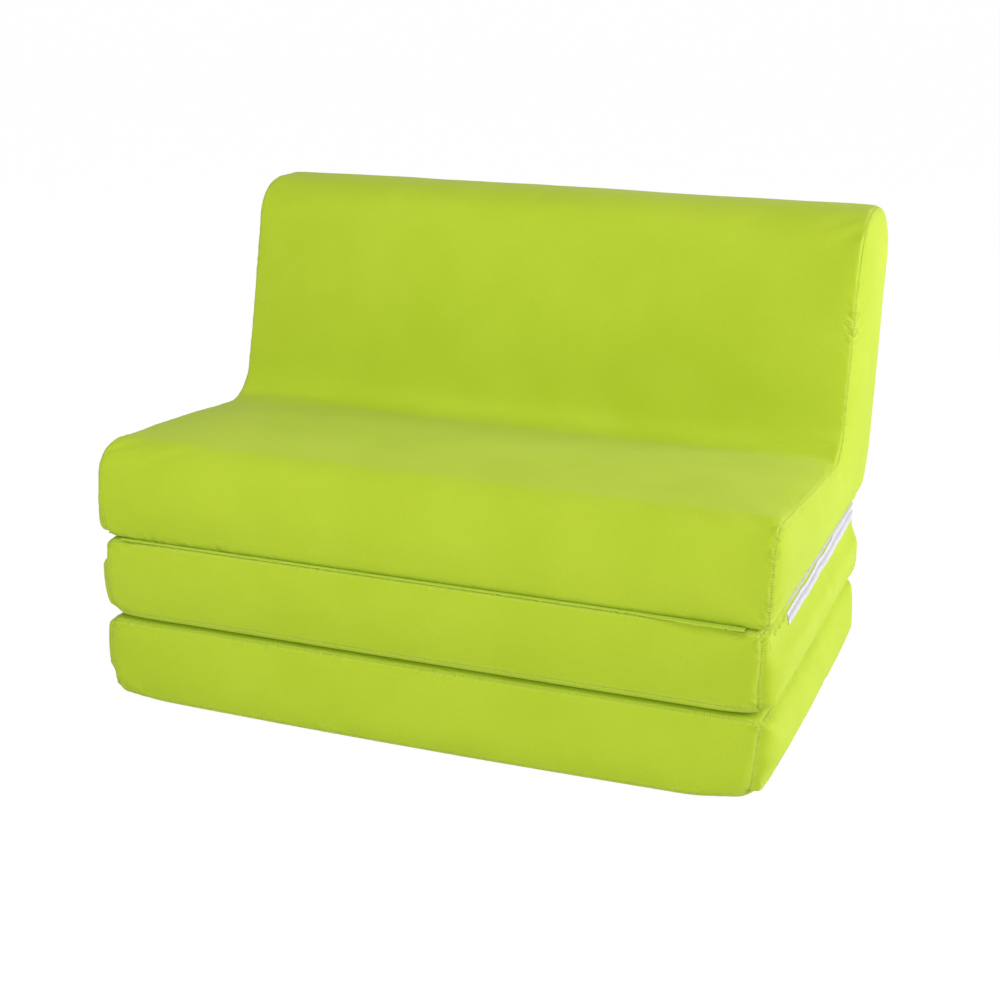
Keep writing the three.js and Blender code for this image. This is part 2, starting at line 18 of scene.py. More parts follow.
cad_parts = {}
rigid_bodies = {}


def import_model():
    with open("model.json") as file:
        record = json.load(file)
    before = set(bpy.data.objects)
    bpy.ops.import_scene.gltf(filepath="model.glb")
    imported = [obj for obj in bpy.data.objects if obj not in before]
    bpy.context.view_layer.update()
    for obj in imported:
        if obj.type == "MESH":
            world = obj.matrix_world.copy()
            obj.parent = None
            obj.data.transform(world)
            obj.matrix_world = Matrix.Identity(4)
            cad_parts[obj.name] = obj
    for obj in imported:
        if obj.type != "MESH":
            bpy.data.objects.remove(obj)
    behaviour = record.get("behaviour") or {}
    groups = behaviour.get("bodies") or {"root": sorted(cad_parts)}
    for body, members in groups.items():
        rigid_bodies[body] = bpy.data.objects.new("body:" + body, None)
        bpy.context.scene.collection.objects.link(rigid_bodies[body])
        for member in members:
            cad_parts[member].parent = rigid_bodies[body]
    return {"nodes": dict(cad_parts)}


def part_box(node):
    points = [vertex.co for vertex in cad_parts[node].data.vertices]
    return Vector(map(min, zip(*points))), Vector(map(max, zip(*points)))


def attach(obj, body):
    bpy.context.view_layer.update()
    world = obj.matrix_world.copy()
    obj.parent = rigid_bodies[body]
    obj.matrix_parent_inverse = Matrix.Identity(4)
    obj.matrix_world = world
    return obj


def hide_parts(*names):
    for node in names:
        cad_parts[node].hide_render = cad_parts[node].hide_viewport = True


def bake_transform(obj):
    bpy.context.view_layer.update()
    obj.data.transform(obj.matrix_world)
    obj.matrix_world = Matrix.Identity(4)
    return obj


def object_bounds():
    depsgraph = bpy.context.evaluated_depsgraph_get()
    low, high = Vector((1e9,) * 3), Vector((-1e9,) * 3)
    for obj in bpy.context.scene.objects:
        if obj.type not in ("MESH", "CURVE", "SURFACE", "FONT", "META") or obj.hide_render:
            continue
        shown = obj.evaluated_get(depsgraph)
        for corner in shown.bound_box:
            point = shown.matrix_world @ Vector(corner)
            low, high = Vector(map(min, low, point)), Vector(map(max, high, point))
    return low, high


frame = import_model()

for leftover in list(bpy.context.scene.objects):
    if leftover.name in ("Cube", "Light", "Camera"):
        bpy.data.objects.remove(leftover)
cad_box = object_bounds()
print("frame", [round(v, 4) for corner in cad_box for v in corner])

# %% [markdown]
# The sizes are the construction's, in metres. X runs across the sofa, Y from its front to its rear, and Z
# up. The model's origin is under its middle, so the plane of the cushions' fronts comes from the box of the
# whole model.

# %% Sizes
seat_half = 0.600
mattress_half = 0.593
mattress_depth = 0.730
mattress_height = 0.150
mattress_crown = 0.006
seat_crown = 0.008
gap = 0.0003
front_plane = cad_box[0][1] + mattress_crown
rear_plane = front_plane + mattress_depth
middle_floor = mattress_height + gap
seat_floor = middle_floor + mattress_height + gap
end_radius = 0.012
zip_tape_width = 0.007
zip_coil_width = 0.006
zip_band = 2 * zip_tape_width + zip_coil_width + 2 * gap
zip_middle = end_radius + gap + zip_band / 2
print("front plane", round(front_plane, 4), "seat floor", seat_floor)

# %% [markdown]
# The camera stands to the right of the sofa, at about three metres, and looks slightly down. It was found
# from lines and corners of the photograph, and its small roll is that of the photograph.

# %% Camera
camera_data = bpy.data.cameras.new("camera")
camera_data.lens = 65.97
camera_data.sensor_width = 36
camera = bpy.data.objects.new("camera", camera_data)
bpy.context.collection.objects.link(camera)
yaw, pitch, roll = (math.radians(angle) for angle in (20.586, 17.924, 0.597))
turn = Euler((math.pi / 2 - pitch, 0, yaw)).to_matrix() @ Matrix.Rotation(roll, 3, "Z")
camera.matrix_world = Matrix.Translation((1.134, -3.0452, 1.3661)) @ turn.to_4x4()
bpy.context.scene.camera = camera
print("camera looks along", [round(v, 3) for v in -camera.matrix_world.col[2].xyz])


# %% [markdown]
# Finishes are node trees. A socket is wrapped so that shader maths reads as plain arithmetic, and every
# other node comes from one method that sets the node up first and then fills its sockets.

# %% Shader maths
class Signal:
    """A socket of a node, with arithmetic that adds Math nodes."""

    def __init__(self, nodes, socket):
        self.nodes = nodes
        self.socket = socket

    def maths(self, operation, *values):
        return self.nodes.node("ShaderNodeMath", {"operation": operation}, dict(enumerate(values)))

    def __add__(self, other):
        return self.maths("ADD", self, other)

    def __sub__(self, other):
        return self.maths("SUBTRACT", self, other)

    def __mul__(self, other):
        return self.maths("MULTIPLY", self, other)

    def __rsub__(self, other):
        return self.maths("SUBTRACT", other, self)

    def sine(self):
        return self.maths("SINE", self)

    __radd__ = __add__
    __rmul__ = __mul__


class Nodes:
    """A node tree and the one way in which nodes are added to it."""

    def __init__(self, tree):
        self.tree = tree

    def node(self, kind, settings=None, inputs=None, output=0):
        made = self.tree.nodes.new(kind)
        for key, value in (settings or {}).items():
            setattr(made, key, value)
        for socket, value in (inputs or {}).items():
            if isinstance(value, Signal):
                self.tree.links.new(value.socket, made.inputs[socket])
            else:
                made.inputs[socket].default_value = value
        return Signal(self, made.outputs[output])


class Finish(Nodes):
    """A material, with the nodes that its pieces share."""

    def __init__(self, name, constants):
        self.material = bpy.data.materials.new(name)
        self.material.use_nodes = True
        super().__init__(self.material.node_tree)
        self.shader = self.tree.nodes["Principled BSDF"]
        for socket, value in constants.items():
            self.shader.inputs[socket].default_value = value

    def drive(self, socket, signal):
        self.tree.links.new(signal.socket, self.shader.inputs[socket])

    def attribute(self, name, output="Fac"):
        return self.node("ShaderNodeAttribute", {"attribute_name": name}, output=output)

    def place(self, system="Object"):
        return self.node("ShaderNodeTexCoord", output=system)

    def first_two(self, vector):
        """The first two coordinates of a place."""
        first = self.node("ShaderNodeSeparateXYZ", {}, {0: vector})
        return first, Signal(self, first.socket.node.outputs[1])

    def scaled(self, vector, factors):
        settings = {"operation": "MULTIPLY"}
        return self.node("ShaderNodeVectorMath", settings, {0: vector, 1: factors})

    def noise(self, vector, scale, detail=2.0, roughness=0.5):
        inputs = {"Vector": vector, "Scale": scale, "Detail": detail, "Roughness": roughness}
        return self.node("ShaderNodeTexNoise", {}, inputs)

    def between(self, factor, first, second):
        settings = {"data_type": "RGBA"}
        return self.node("ShaderNodeMix", settings, {"Factor": factor, 6: first, 7: second}, output=2)

    def smooth_step(self, value, low, high):
        settings = {"interpolation_type": "SMOOTHSTEP"}
        return self.node("ShaderNodeMapRange", settings, {"Value": value, 1: low, 2: high})

    def bumps(self, *layers):
        """Adds bumps one on another, each from a height signal in metres."""
        normal = None
        for height in layers:
            inputs = {"Strength": 1.0, "Distance": 1.0, "Height": height}
            if normal is not None:
                inputs["Normal"] = normal
            normal = self.node("ShaderNodeBump", {}, inputs)
        self.drive("Normal", normal)


print("shader helper ready")

# %% [markdown]
# The cover is a tightly woven polyester in lime green, matt, with a fine even grain. Its colour is a little
# deeper in places, as dyed cloth is. Each cover panel carries attributes that say where a point lies: how
# far from the nearest seam, at which place of it, how far along it, how strongly the cloth is gathered
# there, and how far from the topstitched row. From these come the stitches, lighter with a painted highlight;
# a painted highlight on the rim beside a seam; rungs of painted shade along each seam and the topstitched
# row; and the puckers that run away from a seam, which raise the cloth and are painted with shade in their
# valleys and with highlight on their crests.

# %% Cover cloth
lime = (0.485, 0.640, 0.027, 1)
bright_lime = (0.515, 0.670, 0.034, 1)
fleck_lime = (0.30, 0.44, 0.015, 1)
# These three colours are painted light: shade in grooves and pucker valleys, a highlight on seam rims and
# stitches, and a highlight on pucker crests.
shadow_lime = (0.27, 0.41, 0.012, 1)
highlight_lime = (0.62, 0.78, 0.10, 1)
crest_highlight_lime = (0.66, 0.80, 0.09, 1)
stitch_pitch = 0.0034
rung_waves = 1350.0
threads_per_metre = 1250.0


def cover_cloth():
    finish = Finish("cover_cloth", {
        "Specular IOR Level": 0.22, "Sheen Weight": 0.07, "Sheen Roughness": 0.45})
    place = finish.place()
    weave_place = finish.place("UV")
    seam = finish.attribute("seam_distance")
    seam_place = finish.attribute("seam_place", "Vector")

    clouds = finish.noise(place, 7.0, 3.0)
    flecks = finish.noise(place, 560.0, 3.0, 0.65)
    tone = finish.between(finish.smooth_step(clouds, 0.3, 0.7), lime, bright_lime)
    shade = finish.between(finish.smooth_step(flecks, 0.35, 0.7) * 0.20, tone, fleck_lime)

    run = finish.attribute("seam_run")
    turn = run.maths("FRACT", run * (1 / stitch_pitch))
    off_middle = turn.maths("ABSOLUTE", turn - 0.5)
    # Stitch mask: the stitches are painted lighter, as a highlight on their thread.
    stitch = (1 - finish.smooth_step(off_middle, 0.18, 0.34)) * (1 - finish.smooth_step(seam, 0.0009, 0.0019))
    rungs = finish.smooth_step((run * rung_waves).sine(), -0.2, 0.9)
    row = finish.attribute("row_distance")
    ladder = rungs * (1 - finish.smooth_step(seam, 0.0012, 0.0042))
    ladder = ladder + rungs * (1 - finish.smooth_step(row, 0.0006, 0.0016))
    # A painted highlight along the rim beside each seam.
    rim = 1 - finish.smooth_step(seam, 0.0010, 0.0070)
    shade = finish.between(rim * 0.30, shade, highlight_lime)
    # Painted shade in rungs along each seam's groove and along the topstitched row.
    shade = finish.between(ladder * 0.34, shade, shadow_lime)

    strength = finish.attribute("gather_strength")
    near = 1 - finish.smooth_step(seam, 0.0, 0.014 + 0.012 * strength)
    pucker = finish.noise(seam_place, 120.0, 2.0, 0.6)
    gathered = near * near * strength
    # Painted shade in the puckers' valleys and a painted highlight on their crests.
    valley = (1 - finish.smooth_step(pucker, 0.36, 0.50)) * gathered
    crest = finish.smooth_step(pucker, 0.52, 0.64) * gathered
    shade = finish.between(valley * 0.20, shade, shadow_lime)
    shade = finish.between(crest * 0.12, shade, crest_highlight_lime)
    finish.drive("Base Color", finish.between(stitch * 0.30, shade, highlight_lime))
    finish.drive("Roughness", 0.74 + 0.08 * flecks)

    threads = finish.scaled(weave_place, (threads_per_metre, threads_per_metre, 0.0))
    weft, warp = finish.first_two(threads)
    weave = (weft * (2 * math.pi)).sine() * (warp * (2 * math.pi)).sine() * 0.00003

    pucker_height = (pucker - 0.5) * (near * near * 0.0006 + gathered * 0.0020)
    slack = finish.noise(place, 22.0, 2.0)
    slack_height = (slack - 0.5) * 0.0006
    finish.bumps(slack_height, pucker_height + stitch * 0.0004 - ladder * 0.0002, weave)
    return finish.material


cloth = cover_cloth()


# %% [markdown]
# Polyether foam fills each cushion. It is pale cream, very rough, and full of small open cells, whose pits are
# painted darker as shade.

# %% Foam
def cut_foam():
    finish = Finish("cut_foam", {"Roughness": 0.95})
    place = finish.place()
    cells = finish.node("ShaderNodeTexVoronoi", {}, {"Vector": place, "Scale": 420.0})
    # Each cell is darker towards its middle, where the bump sinks its pit: painted shade in the open cells.
    tone = finish.between(finish.smooth_step(cells, 0.1, 0.6), (0.62, 0.56, 0.40, 1), (0.86, 0.81, 0.66, 1))
    finish.drive("Base Color", tone)
    finish.bumps(cells * 0.0008)
    return finish.material


foam = cut_foam()
print("finishes", cloth.name, foam.name)

# %% [markdown]
# A cushion's form starts from the outline of its side, a closed line with rounded corners. Each corner is a
# place with a radius. The outline is drawn finely once, with the outward direction at each point, and then
# cut into the four sides of a bent box: front, inner, back and outer.

# %% Side outlines
fillet_points = 16
straight_points = 40


def outward(way):
    """The direction out of the cushion beside a way along its outline."""
    return np.array([-way[1], way[0]])


def draw_outline(corners):
    """The outline's points, their outward directions and crowns, and the first and last point of each arc."""
    places = [np.array(corner["place"], float) for corner in corners]
    points, normals, crowns, arcs = [], [], [], []
    count = len(corners)
    bends = []
    for i, corner in enumerate(corners):
        before, here, after = places[i - 1], places[i], places[(i + 1) % count]
        come = (here - before) / np.linalg.norm(here - before)
        go = (after - here) / np.linalg.norm(after - here)
        cross = come[0] * go[1] - come[1] * go[0]
        half = 0.5 * math.acos(np.clip(come @ go, -1, 1))
        reach = corner["radius"] * math.tan(half)
        sign = 1 if cross < 0 else -1
        start = here - come * reach
        centre = start - sign * corner["radius"] * outward(come)
        bends.append((start, here + go * reach, centre, sign, come, go, half, corner["radius"]))
    for i, (start, end, centre, sign, come, go, half, radius) in enumerate(bends):
        first = len(points)
        for step in range(fillet_points + 1):
            angle = -sign * 2 * half * step / fillet_points
            turned = np.array([
                come[0] * math.cos(angle) - come[1] * math.sin(angle),
                come[0] * math.sin(angle) + come[1] * math.cos(angle)])
            normal = outward(turned)
            points.append(centre + sign * radius * normal)
            normals.append(normal)
            crowns.append(0.0)
        arcs.append((first, len(points) - 1))
        following = bends[(i + 1) % count][0]
        normal = outward(go)
        for step in range(1, straight_points):
            share = step / straight_points
            points.append(end + (following - end) * share)
            normals.append(normal)
            crowns.append(corners[i].get("crown", 0.0) * math.sin(math.pi * share) ** 1.4)
    return np.array(points), np.array(normals), np.array(crowns), arcs


def graded(count, finest=0.28, reach=2.6):
    """Shares from 0 to 1 whose steps are short at both ends, where the seams are."""
    steps = [1 - (1 - finest) * math.exp(-min(i, count - 1 - i) / reach) for i in range(count)]
    return np.concatenate([[0], np.cumsum(steps)]) / sum(steps)


print("outline helper ready")


# %% [markdown]
# A cushion starts as a cube that is cut into a fine grid. Its width runs across the sofa, its length along
# the side outline, and its height from the outer side, that lies low or at the rear, to the inner side,
# that is sat on. Each point of the grid then moves to its place on the outline or on the flat end, and the
# grid's edges are the seams.

# %% Cushion forms
class Cushion:
    """The closed form of one cushion, as a grid on a bent box."""

    def __init__(self, name, corners, half, cuts, turns, seam_at_base_rear, end_crown, end_run, inset=0.0):
        self.name = name
        self.half = half
        self.cuts = cuts
        self.end_crown = end_crown
        self.end_run = end_run
        self.base_split = seam_at_base_rear
        self.points, self.normals, self.crowns, arcs = draw_outline(corners)
        self.points = self.points - inset * self.normals
        steps = np.linalg.norm(np.roll(self.points, -1, axis=0) - self.points, axis=1)
        self.stretch = np.concatenate([[0], np.cumsum(steps)])
        self.around = self.stretch[-1]
        marks = [arcs[corner][0] + share * (arcs[corner][1] - arcs[corner][0]) for corner, share in turns]
        self.lay_sides([self.stretch[round(mark)] for mark in marks])

    def lay_sides(self, marks):
        """Distances along the outline at which the grid's lines start, on each of the four sides."""
        front_low, front_high, crease, top_front, top_rear, base_rear = marks
        _, along, up = self.cuts
        split = self.base_split
        self.front = front_low + (front_high - front_low) * graded(up)
        self.top = top_rear + (top_front - top_rear) * graded(up)
        self.inner = self.two_part(front_high, crease, top_front, along, split)
        self.outer = self.two_part(front_low + self.around, base_rear, top_rear, along, split)

    def two_part(self, start, knot, end, count, split):
        shares = graded(count)
        if not split:
            return start + (end - start) * shares
        low = shares[: split + 1] / shares[split]
        high = (shares[split:] - shares[split]) / (1 - shares[split])
        return np.concatenate([start + (knot - start) * low, (knot + (end - knot) * high)[1:]])

    def at(self, distance, inset=0.0):
        """Places, outward directions and crowns at distances along the outline."""
        wrapped = np.mod(distance, self.around)
        closed = lambda values: np.concatenate([values, values[:1]])
        pick = lambda values: np.interp(wrapped, self.stretch, closed(values))
        normal = np.stack([pick(self.normals[:, 0]), pick(self.normals[:, 1])], -1)
        normal /= np.linalg.norm(normal, axis=-1, keepdims=True)
        place = np.stack([pick(self.points[:, 0]), pick(self.points[:, 1])], -1)
        return place - normal * np.asarray(inset)[..., None], normal, pick(self.crowns)

    def depth_inside(self, places):
        """How far places on the flat end lie inside the outline."""
        start = self.points
        run = np.roll(self.points, -1, axis=0) - start
        offset = places[:, None] - start[None]
        share = np.clip((offset * run).sum(-1) / (run * run).sum(-1), 0, 1)
        return np.linalg.norm(offset - share[..., None] * run, axis=-1).min(axis=1)

    def patch(self):
        """Places of the end face's grid, blended from its four sides."""
        _, along, up = self.cuts
        inset = end_radius * (1 - math.cos(math.pi / 4))
        outer, inner = self.at(self.outer, inset)[0], self.at(self.inner, inset)[0]
        front, top = self.at(self.front, inset)[0], self.at(self.top, inset)[0]
        u = (graded(along) if not self.base_split else np.linspace(0, 1, along + 1))[:, None, None]
        v = graded(up)[None, :, None]
        ruled = (1 - v) * outer[:, None] + v * inner[:, None] + (1 - u) * front[None] + u * top[None]
        corners = ((1 - u) * (1 - v) * outer[0] + u * (1 - v) * outer[-1]
                   + (1 - u) * v * inner[0] + u * v * inner[-1])
        return ruled - corners

    def place_grid(self, i, j, k):
        """Where the grid's points go, and their places on the flat cloth."""
        across, along, up = self.cuts
        straight = self.half - end_radius
        turns = 3
        shares = graded(across - 2 * turns, 0.6)
        middle = -straight + 2 * straight * shares
        angles = np.radians(45) * np.arange(1, turns + 1) / turns
        ends = straight + end_radius * np.sin(angles)
        stations = np.concatenate([-ends[::-1], middle, ends])
        insets = end_radius * (1 - np.cos(angles))
        insets = np.concatenate([insets[::-1], np.zeros(len(middle)), insets])
        spread = np.sin(np.pi / 2 * np.clip((self.half - np.abs(stations)) / 0.15, 0, 1))

        distance = np.select(
            [j == 0, j == along, k == 0], [self.front[k], self.top[k], self.outer[j]], self.inner[j])
        place, normal, crown = self.at(distance, insets[i])
        place = place + normal * (crown * spread[i])[:, None]
        x = stations[i]
        inside = ((i == 0) | (i == across)) & (j > 0) & (j < along) & (k > 0) & (k < up)
        flat = self.patch()[j[inside], k[inside]]
        depth = self.depth_inside(flat)
        bulge = np.sqrt(np.maximum(0, end_radius ** 2 - np.maximum(0, end_radius - depth) ** 2))
        rise = np.sin(np.pi / 2 * np.clip((depth - 0.3 * end_radius) / self.end_run, 0, 1))
        swell = self.end_crown * rise ** 0.7
        full = np.where(x[inside] > 0, 1.0, 0.7)
        x[inside] = np.sign(x[inside]) * (straight + bulge + swell * full)
        place[inside] = flat
        return np.column_stack([x, place]), np.mod(distance, self.around)


def alone():
    """Nothing is selected any more."""
    for thing in bpy.context.view_layer.objects:
        thing.select_set(False)


def work_on(piece):
    alone()
    piece.select_set(True)
    bpy.context.view_layer.objects.active = piece


def edit(operator, **settings):
    """Runs one operator on the active piece's mesh, in edit mode."""
    bpy.ops.object.mode_set(mode="EDIT")
    operator(**settings)
    bpy.ops.object.mode_set(mode="OBJECT")


def read(items, field, wide=1, kind=int):
    """One fact of all the vertices, edges, corners or faces of a mesh, in rows of the given width."""
    values = np.empty(len(items) * wide, kind)
    items.foreach_get(field, values)
    return values.reshape(-1, wide) if wide > 1 else values


def places_of(piece):
    return read(piece.data.vertices, "co", 3, float)


def move_to(piece, places):
    piece.data.vertices.foreach_set("co", np.ascontiguousarray(places, float).ravel())
    piece.data.update()


def cut_grid(name, size, place, cuts):
    """A cube at its size and place, cut into a grid by subdividing its edges along one axis after another."""
    alone()
    bpy.ops.mesh.primitive_cube_add(size=1, location=place, scale=size)
    piece = bpy.context.active_object
    piece.name = piece.data.name = name
    bpy.ops.object.transform_apply(location=True, rotation=False, scale=True)
    for axis, count in enumerate(cuts):
        edit(bpy.ops.mesh.select_all, action="DESELECT")
        ends = read(piece.data.edges, "vertices", 2)
        run = np.abs(np.diff(places_of(piece)[ends], axis=1)[:, 0])
        edit(bpy.ops.mesh.select_mode, type="EDGE")
        piece.data.edges.foreach_set("select", run.argmax(axis=1) == axis)
        edit(bpy.ops.mesh.subdivide, number_cuts=count - 1)
    return piece


print("cushion helpers ready")


# %% [markdown]
# Each face of the box is a panel of the cover. A panel number goes on each face as its material slot, so
# that it lasts through the simulation and the subdivision, and the flat cloth's measures go into the UV map
# in metres.

# %% Panels
panel_names = ["front", "top", "rear", "bottom", "right", "left"]


def lay_out_cushion(cushion, low, high):
    """The cushion's closed cover, with its panels numbered and its cloth measured."""
    size = [h - l for l, h in zip(low, high)]
    piece = cut_grid(cushion.name, size, [(l + h) / 2 for l, h in zip(low, high)], cushion.cuts)
    shares = (places_of(piece) - np.array(low)) / np.array(size)
    i, j, k = np.rint(shares * np.array(cushion.cuts)).astype(int).T
    places, stretch = cushion.place_grid(i, j, k)
    mesh = piece.data
    across, along, up = cushion.cuts

    corners = read(mesh.loops, "vertex_index")
    quads = corners.reshape(-1, 4)
    one = lambda test: test[quads].all(axis=1)
    bottom = one(k == 0)
    if cushion.base_split:
        bottom &= ~one(j >= cushion.base_split)
    panel = np.select(
        [one(i == across), one(i == 0), bottom, one(j == 0), one(k == up), one(j == along)],
        [4, 5, 3, 0, 1, 2], 2)
    if cushion.base_split:
        panel[(panel == 1) | (panel == 2)] = 0
    mesh.polygons.foreach_set("material_index", panel.astype(np.int32))

    flat = np.column_stack([places[:, 0], stretch])[corners]
    kind = np.repeat(panel, 4)
    flat[kind >= 4] = places[:, 1:][corners][kind >= 4]
    flat[kind == 3] = places[:, :2][corners][kind == 3]
    layer = mesh.uv_layers[0] if mesh.uv_layers else mesh.uv_layers.new(name="cloth")
    layer.data.foreach_set("uv", flat.astype(np.float32).ravel())
    move_to(piece, places)
    return piece


def seam_edges(mesh):
    """Which edges lie between two panels."""
    lines = read(mesh.loops, "edge_index")
    panel = np.repeat(read(mesh.polygons, "material_index"), read(mesh.polygons, "loop_total"))
    lowest = np.full(len(mesh.edges), len(panel_names))
    highest = np.full(len(mesh.edges), -1)
    np.minimum.at(lowest, lines, panel)
    np.maximum.at(highest, lines, panel)
    return lowest != highest


def apply_modifier(piece, kind, **settings):
    work_on(piece)
    modifier = piece.modifiers.new(kind.lower(), kind)
    for key, value in settings.items():
        setattr(modifier, key, value)
    bpy.ops.object.modifier_apply(modifier=modifier.name)


# %% [markdown]
# The cover is cut a little large and the foam presses it out. Cloth simulation shows what that does: the
# seams and the faces that lie on another cushion are held, pressure swells the free faces, and the spare
# cloth finds its own soft folds. Foam is firm, so every move is then scaled down, the long ones most, and
# none reaches the given measure.

# %% Simulated swelling
simulated_moments = 20


def swell_cover(piece, held_panels, most):
    mesh = piece.data
    before = places_of(piece)
    resting = [face for face in mesh.polygons if face.material_index in held_panels]
    sewn = [mesh.edges[int(edge)] for edge in np.flatnonzero(seam_edges(mesh))]
    held = {corner for part in (*resting, *sewn) for corner in part.vertices}
    pins = piece.vertex_groups.new(name="held")
    pins.add(sorted(held), 1.0, "REPLACE")
    work_on(piece)
    modifier = piece.modifiers.new("cover", "CLOTH")
    settings = modifier.settings
    settings.quality = 4
    settings.mass = 0.3
    settings.tension_stiffness = settings.compression_stiffness = 12
    settings.shear_stiffness = 6
    settings.bending_stiffness = 0.6
    settings.use_pressure = True
    settings.uniform_pressure_force = 4
    settings.shrink_min = -0.004
    settings.vertex_group_mass = "held"
    settings.effector_weights.gravity = 0
    modifier.point_cache.frame_end = simulated_moments
    for moment in range(1, simulated_moments + 1):
        bpy.context.scene.frame_set(moment)
    bpy.ops.object.modifier_apply(modifier="cover")
    bpy.context.scene.frame_set(1)
    moved = places_of(piece) - before
    reach = np.linalg.norm(moved, axis=1)
    move_to(piece, before + moved * (most / (most + reach))[:, None])
    piece.vertex_groups.clear()
    print(piece.name, "swells", round(float(reach.max()) * 1000, 1), "mm, kept under", most * 1000)


# %% [markdown]
# One subdivision follows, with the seams kept. Then the seam itself: the panels turn in along a narrow
# groove, and beside it the cloth is gathered in small folds that run away from the seam. Their pattern is
# noise that is read at the nearest point of the seam, so a fold keeps its course as it fades. A spot is a
# place and a reach within which the gathers are stronger.

# %% Seams
def nearest_of(points, places):
    """For each place the number of the nearest of the points."""
    tree = KDTree(len(points))
    for number, point in enumerate(points):
        tree.insert(point, number)
    tree.balance()
    return [tree.find(place)[1] for place in places]


def nearest_seam(mesh, places):
    """For each vertex the nearest point of a seam."""
    ends = places[read(mesh.edges, "vertices", 2)[seam_edges(mesh)]]
    shares = np.linspace(0, 1, 5)[None, :-1, None]
    points = (ends[:, :1] * (1 - shares) + ends[:, 1:] * shares).reshape(-1, 3)
    return points[nearest_of(points, places)]


def noise_at(points, scale, seed):
    shift = Vector((seed * 17.3, seed * 5.1, seed * 9.7))
    return np.array([noise.noise(Vector(point) * scale + shift) for point in points])


def run_along(cushion, points):
    """How far along its seam each point is: the sum of its places across the sofa and around the outline."""
    near = nearest_of(np.insert(cushion.points, 0, 0.0, axis=1), points * np.array([0, 1, 1]))
    course = np.column_stack([cushion.normals[near][:, 1], -cushion.normals[near][:, 0]])
    along = cushion.stretch[near] + ((points[:, 1:] - cushion.points[near]) * course).sum(axis=1)
    return points[:, 0] + along


topstitch_level = seat_floor + 0.009
groove_depth, groove_width = 0.0008, 0.0022
gather_width = 0.007
most_gathered = 2.6


def sew_seams(piece, cushion, seed, still, spots=(), pucker=0.0016, drift=0.0022):
    """Turns the panels into their seams, gathers the cloth there, and lets the cover wander a little."""
    mesh = piece.data
    values = seam_edges(mesh).astype(np.float32)
    crease = mesh.attributes.new("crease_edge", "FLOAT", "EDGE")
    crease.data.foreach_set("value", values)
    apply_modifier(piece, "SUBSURF", levels=1, render_levels=1)
    mesh = piece.data
    places = places_of(piece)
    normals = read(mesh.vertices, "normal", 3, float)
    seam = nearest_seam(mesh, places)
    distance = np.linalg.norm(places - seam, axis=1)

    groove = -groove_depth * np.exp(-(distance / groove_width) ** 2)
    slanted = seam + 0.6 * distance[:, None] * np.array([1, 0, -1])
    gathers = noise_at(slanted, 95.0, seed) + 0.5 * noise_at(slanted, 190.0, seed + 1)
    strength = np.clip(0.35 + 1.3 * noise_at(seam, 9.0, seed + 2), 0.1, 1.0)
    for place, reach in spots:
        strength += 1.5 * np.exp(-(np.linalg.norm(seam - np.array(place), axis=1) / reach) ** 2)
    gathers *= pucker * strength * (distance / gather_width) * np.exp(1 - distance / gather_width)
    wander = np.stack([noise_at(places, 3.2, seed + axis) for axis in (3, 4, 5)], -1) * drift
    folds = noise_at(places, 11.0, seed + 6) * 0.0008
    moved = wander + normals * (groove + gathers + folds)[:, None]
    moved *= still(places)[:, None]
    move_to(piece, places + moved)

    at_front = places[:, 1] < front_plane + 0.03
    facts = {
        "seam_distance": distance,
        "gather_strength": np.minimum(strength, most_gathered),
        "seam_place": slanted,
        "seam_run": run_along(cushion, seam),
        "row_distance": np.where(at_front, np.abs(places[:, 2] - topstitch_level), 1.0),
    }
    for name, data in facts.items():
        kind, field = ("FLOAT", "value") if data.ndim == 1 else ("FLOAT_VECTOR", "vector")
        made = mesh.attributes.new(name, kind, "POINT")
        made.data.foreach_set(field, data.astype(np.float32).ravel())


def share_of(values, start, end):
    """How far values are on their way from the start to the end, from 0 to 1."""
    return np.clip((values - start) / (end - start), 0, 1)


def ease(share):
    """A share from 0 to 1 that starts and ends gently."""
    return share * share * (3 - 2 * share)


def soften_corners(places, corners, radii, centre, edge_radius=0.010, run=0.13):
    """Rounds a cushion's corners. Its edges grow rounder towards them, where three seams pull the foam in."""
    for corner, radius in zip(corners, radii):
        outward = np.sign(np.array(corner) - np.array(centre))
        inward = (np.array(corner) - places) * outward
        away = share_of(np.linalg.norm(inward, axis=1), 0, run)
        round_here = edge_radius + (radius - edge_radius) * (1 - ease(away))
        over = np.maximum(0, round_here[:, None] - inward)
        allowed = np.maximum(round_here, over.max(axis=1))
        scale = np.minimum(1, allowed / np.maximum(1e-9, np.linalg.norm(over, axis=1)))
        places = places + outward * over * (scale[:, None] - 1)
    return places


def keep_slider_lane(places, level):
    """Draws both ends flat along the zip, where the tape holds the cloth in. On the left its slider runs."""
    run = np.where(places[:, 0] > 0, 0.035, 0.02)
    away = ease(np.clip((np.abs(places[:, 2] - level) - 0.013) / run, 0, 1))
    away = np.where(places[:, 0] > 0, 0.45 + 0.55 * away, away)
    lane = np.clip(places[:, 0], -mattress_half, mattress_half)
    places[:, 0] = lane + (places[:, 0] - lane) * away
    return places


def press_out_right(places, level, most):
    """Where the two mattress cushions press on each other, their right ends stand out a little together."""
    near = share_of(places[:, 0], 0.45, 0.59)
    places[:, 0] += most * near * near * np.exp(-((places[:, 2] - level) / 0.035) ** 2)
    return places


def fill_left_end(places, low, high, most):
    """Lets the left end stand out half way up, where the foam pushes most, up to the given measure."""
    height = share_of(places[:, 2], low, high)
    near = ease(share_of(places[:, 0], -0.35, -0.60))
    places[:, 0] -= most * np.sin(np.pi * height) ** 0.8 * near
    return places


def give_finish(piece, name, finish):
    """The piece's final name, and one finish on all its faces."""
    piece.name = piece.data.name = name
    piece.data.polygons.foreach_set("material_index", np.zeros(len(piece.data.polygons), np.int32))
    piece.data.materials.clear()
    piece.data.materials.append(finish)


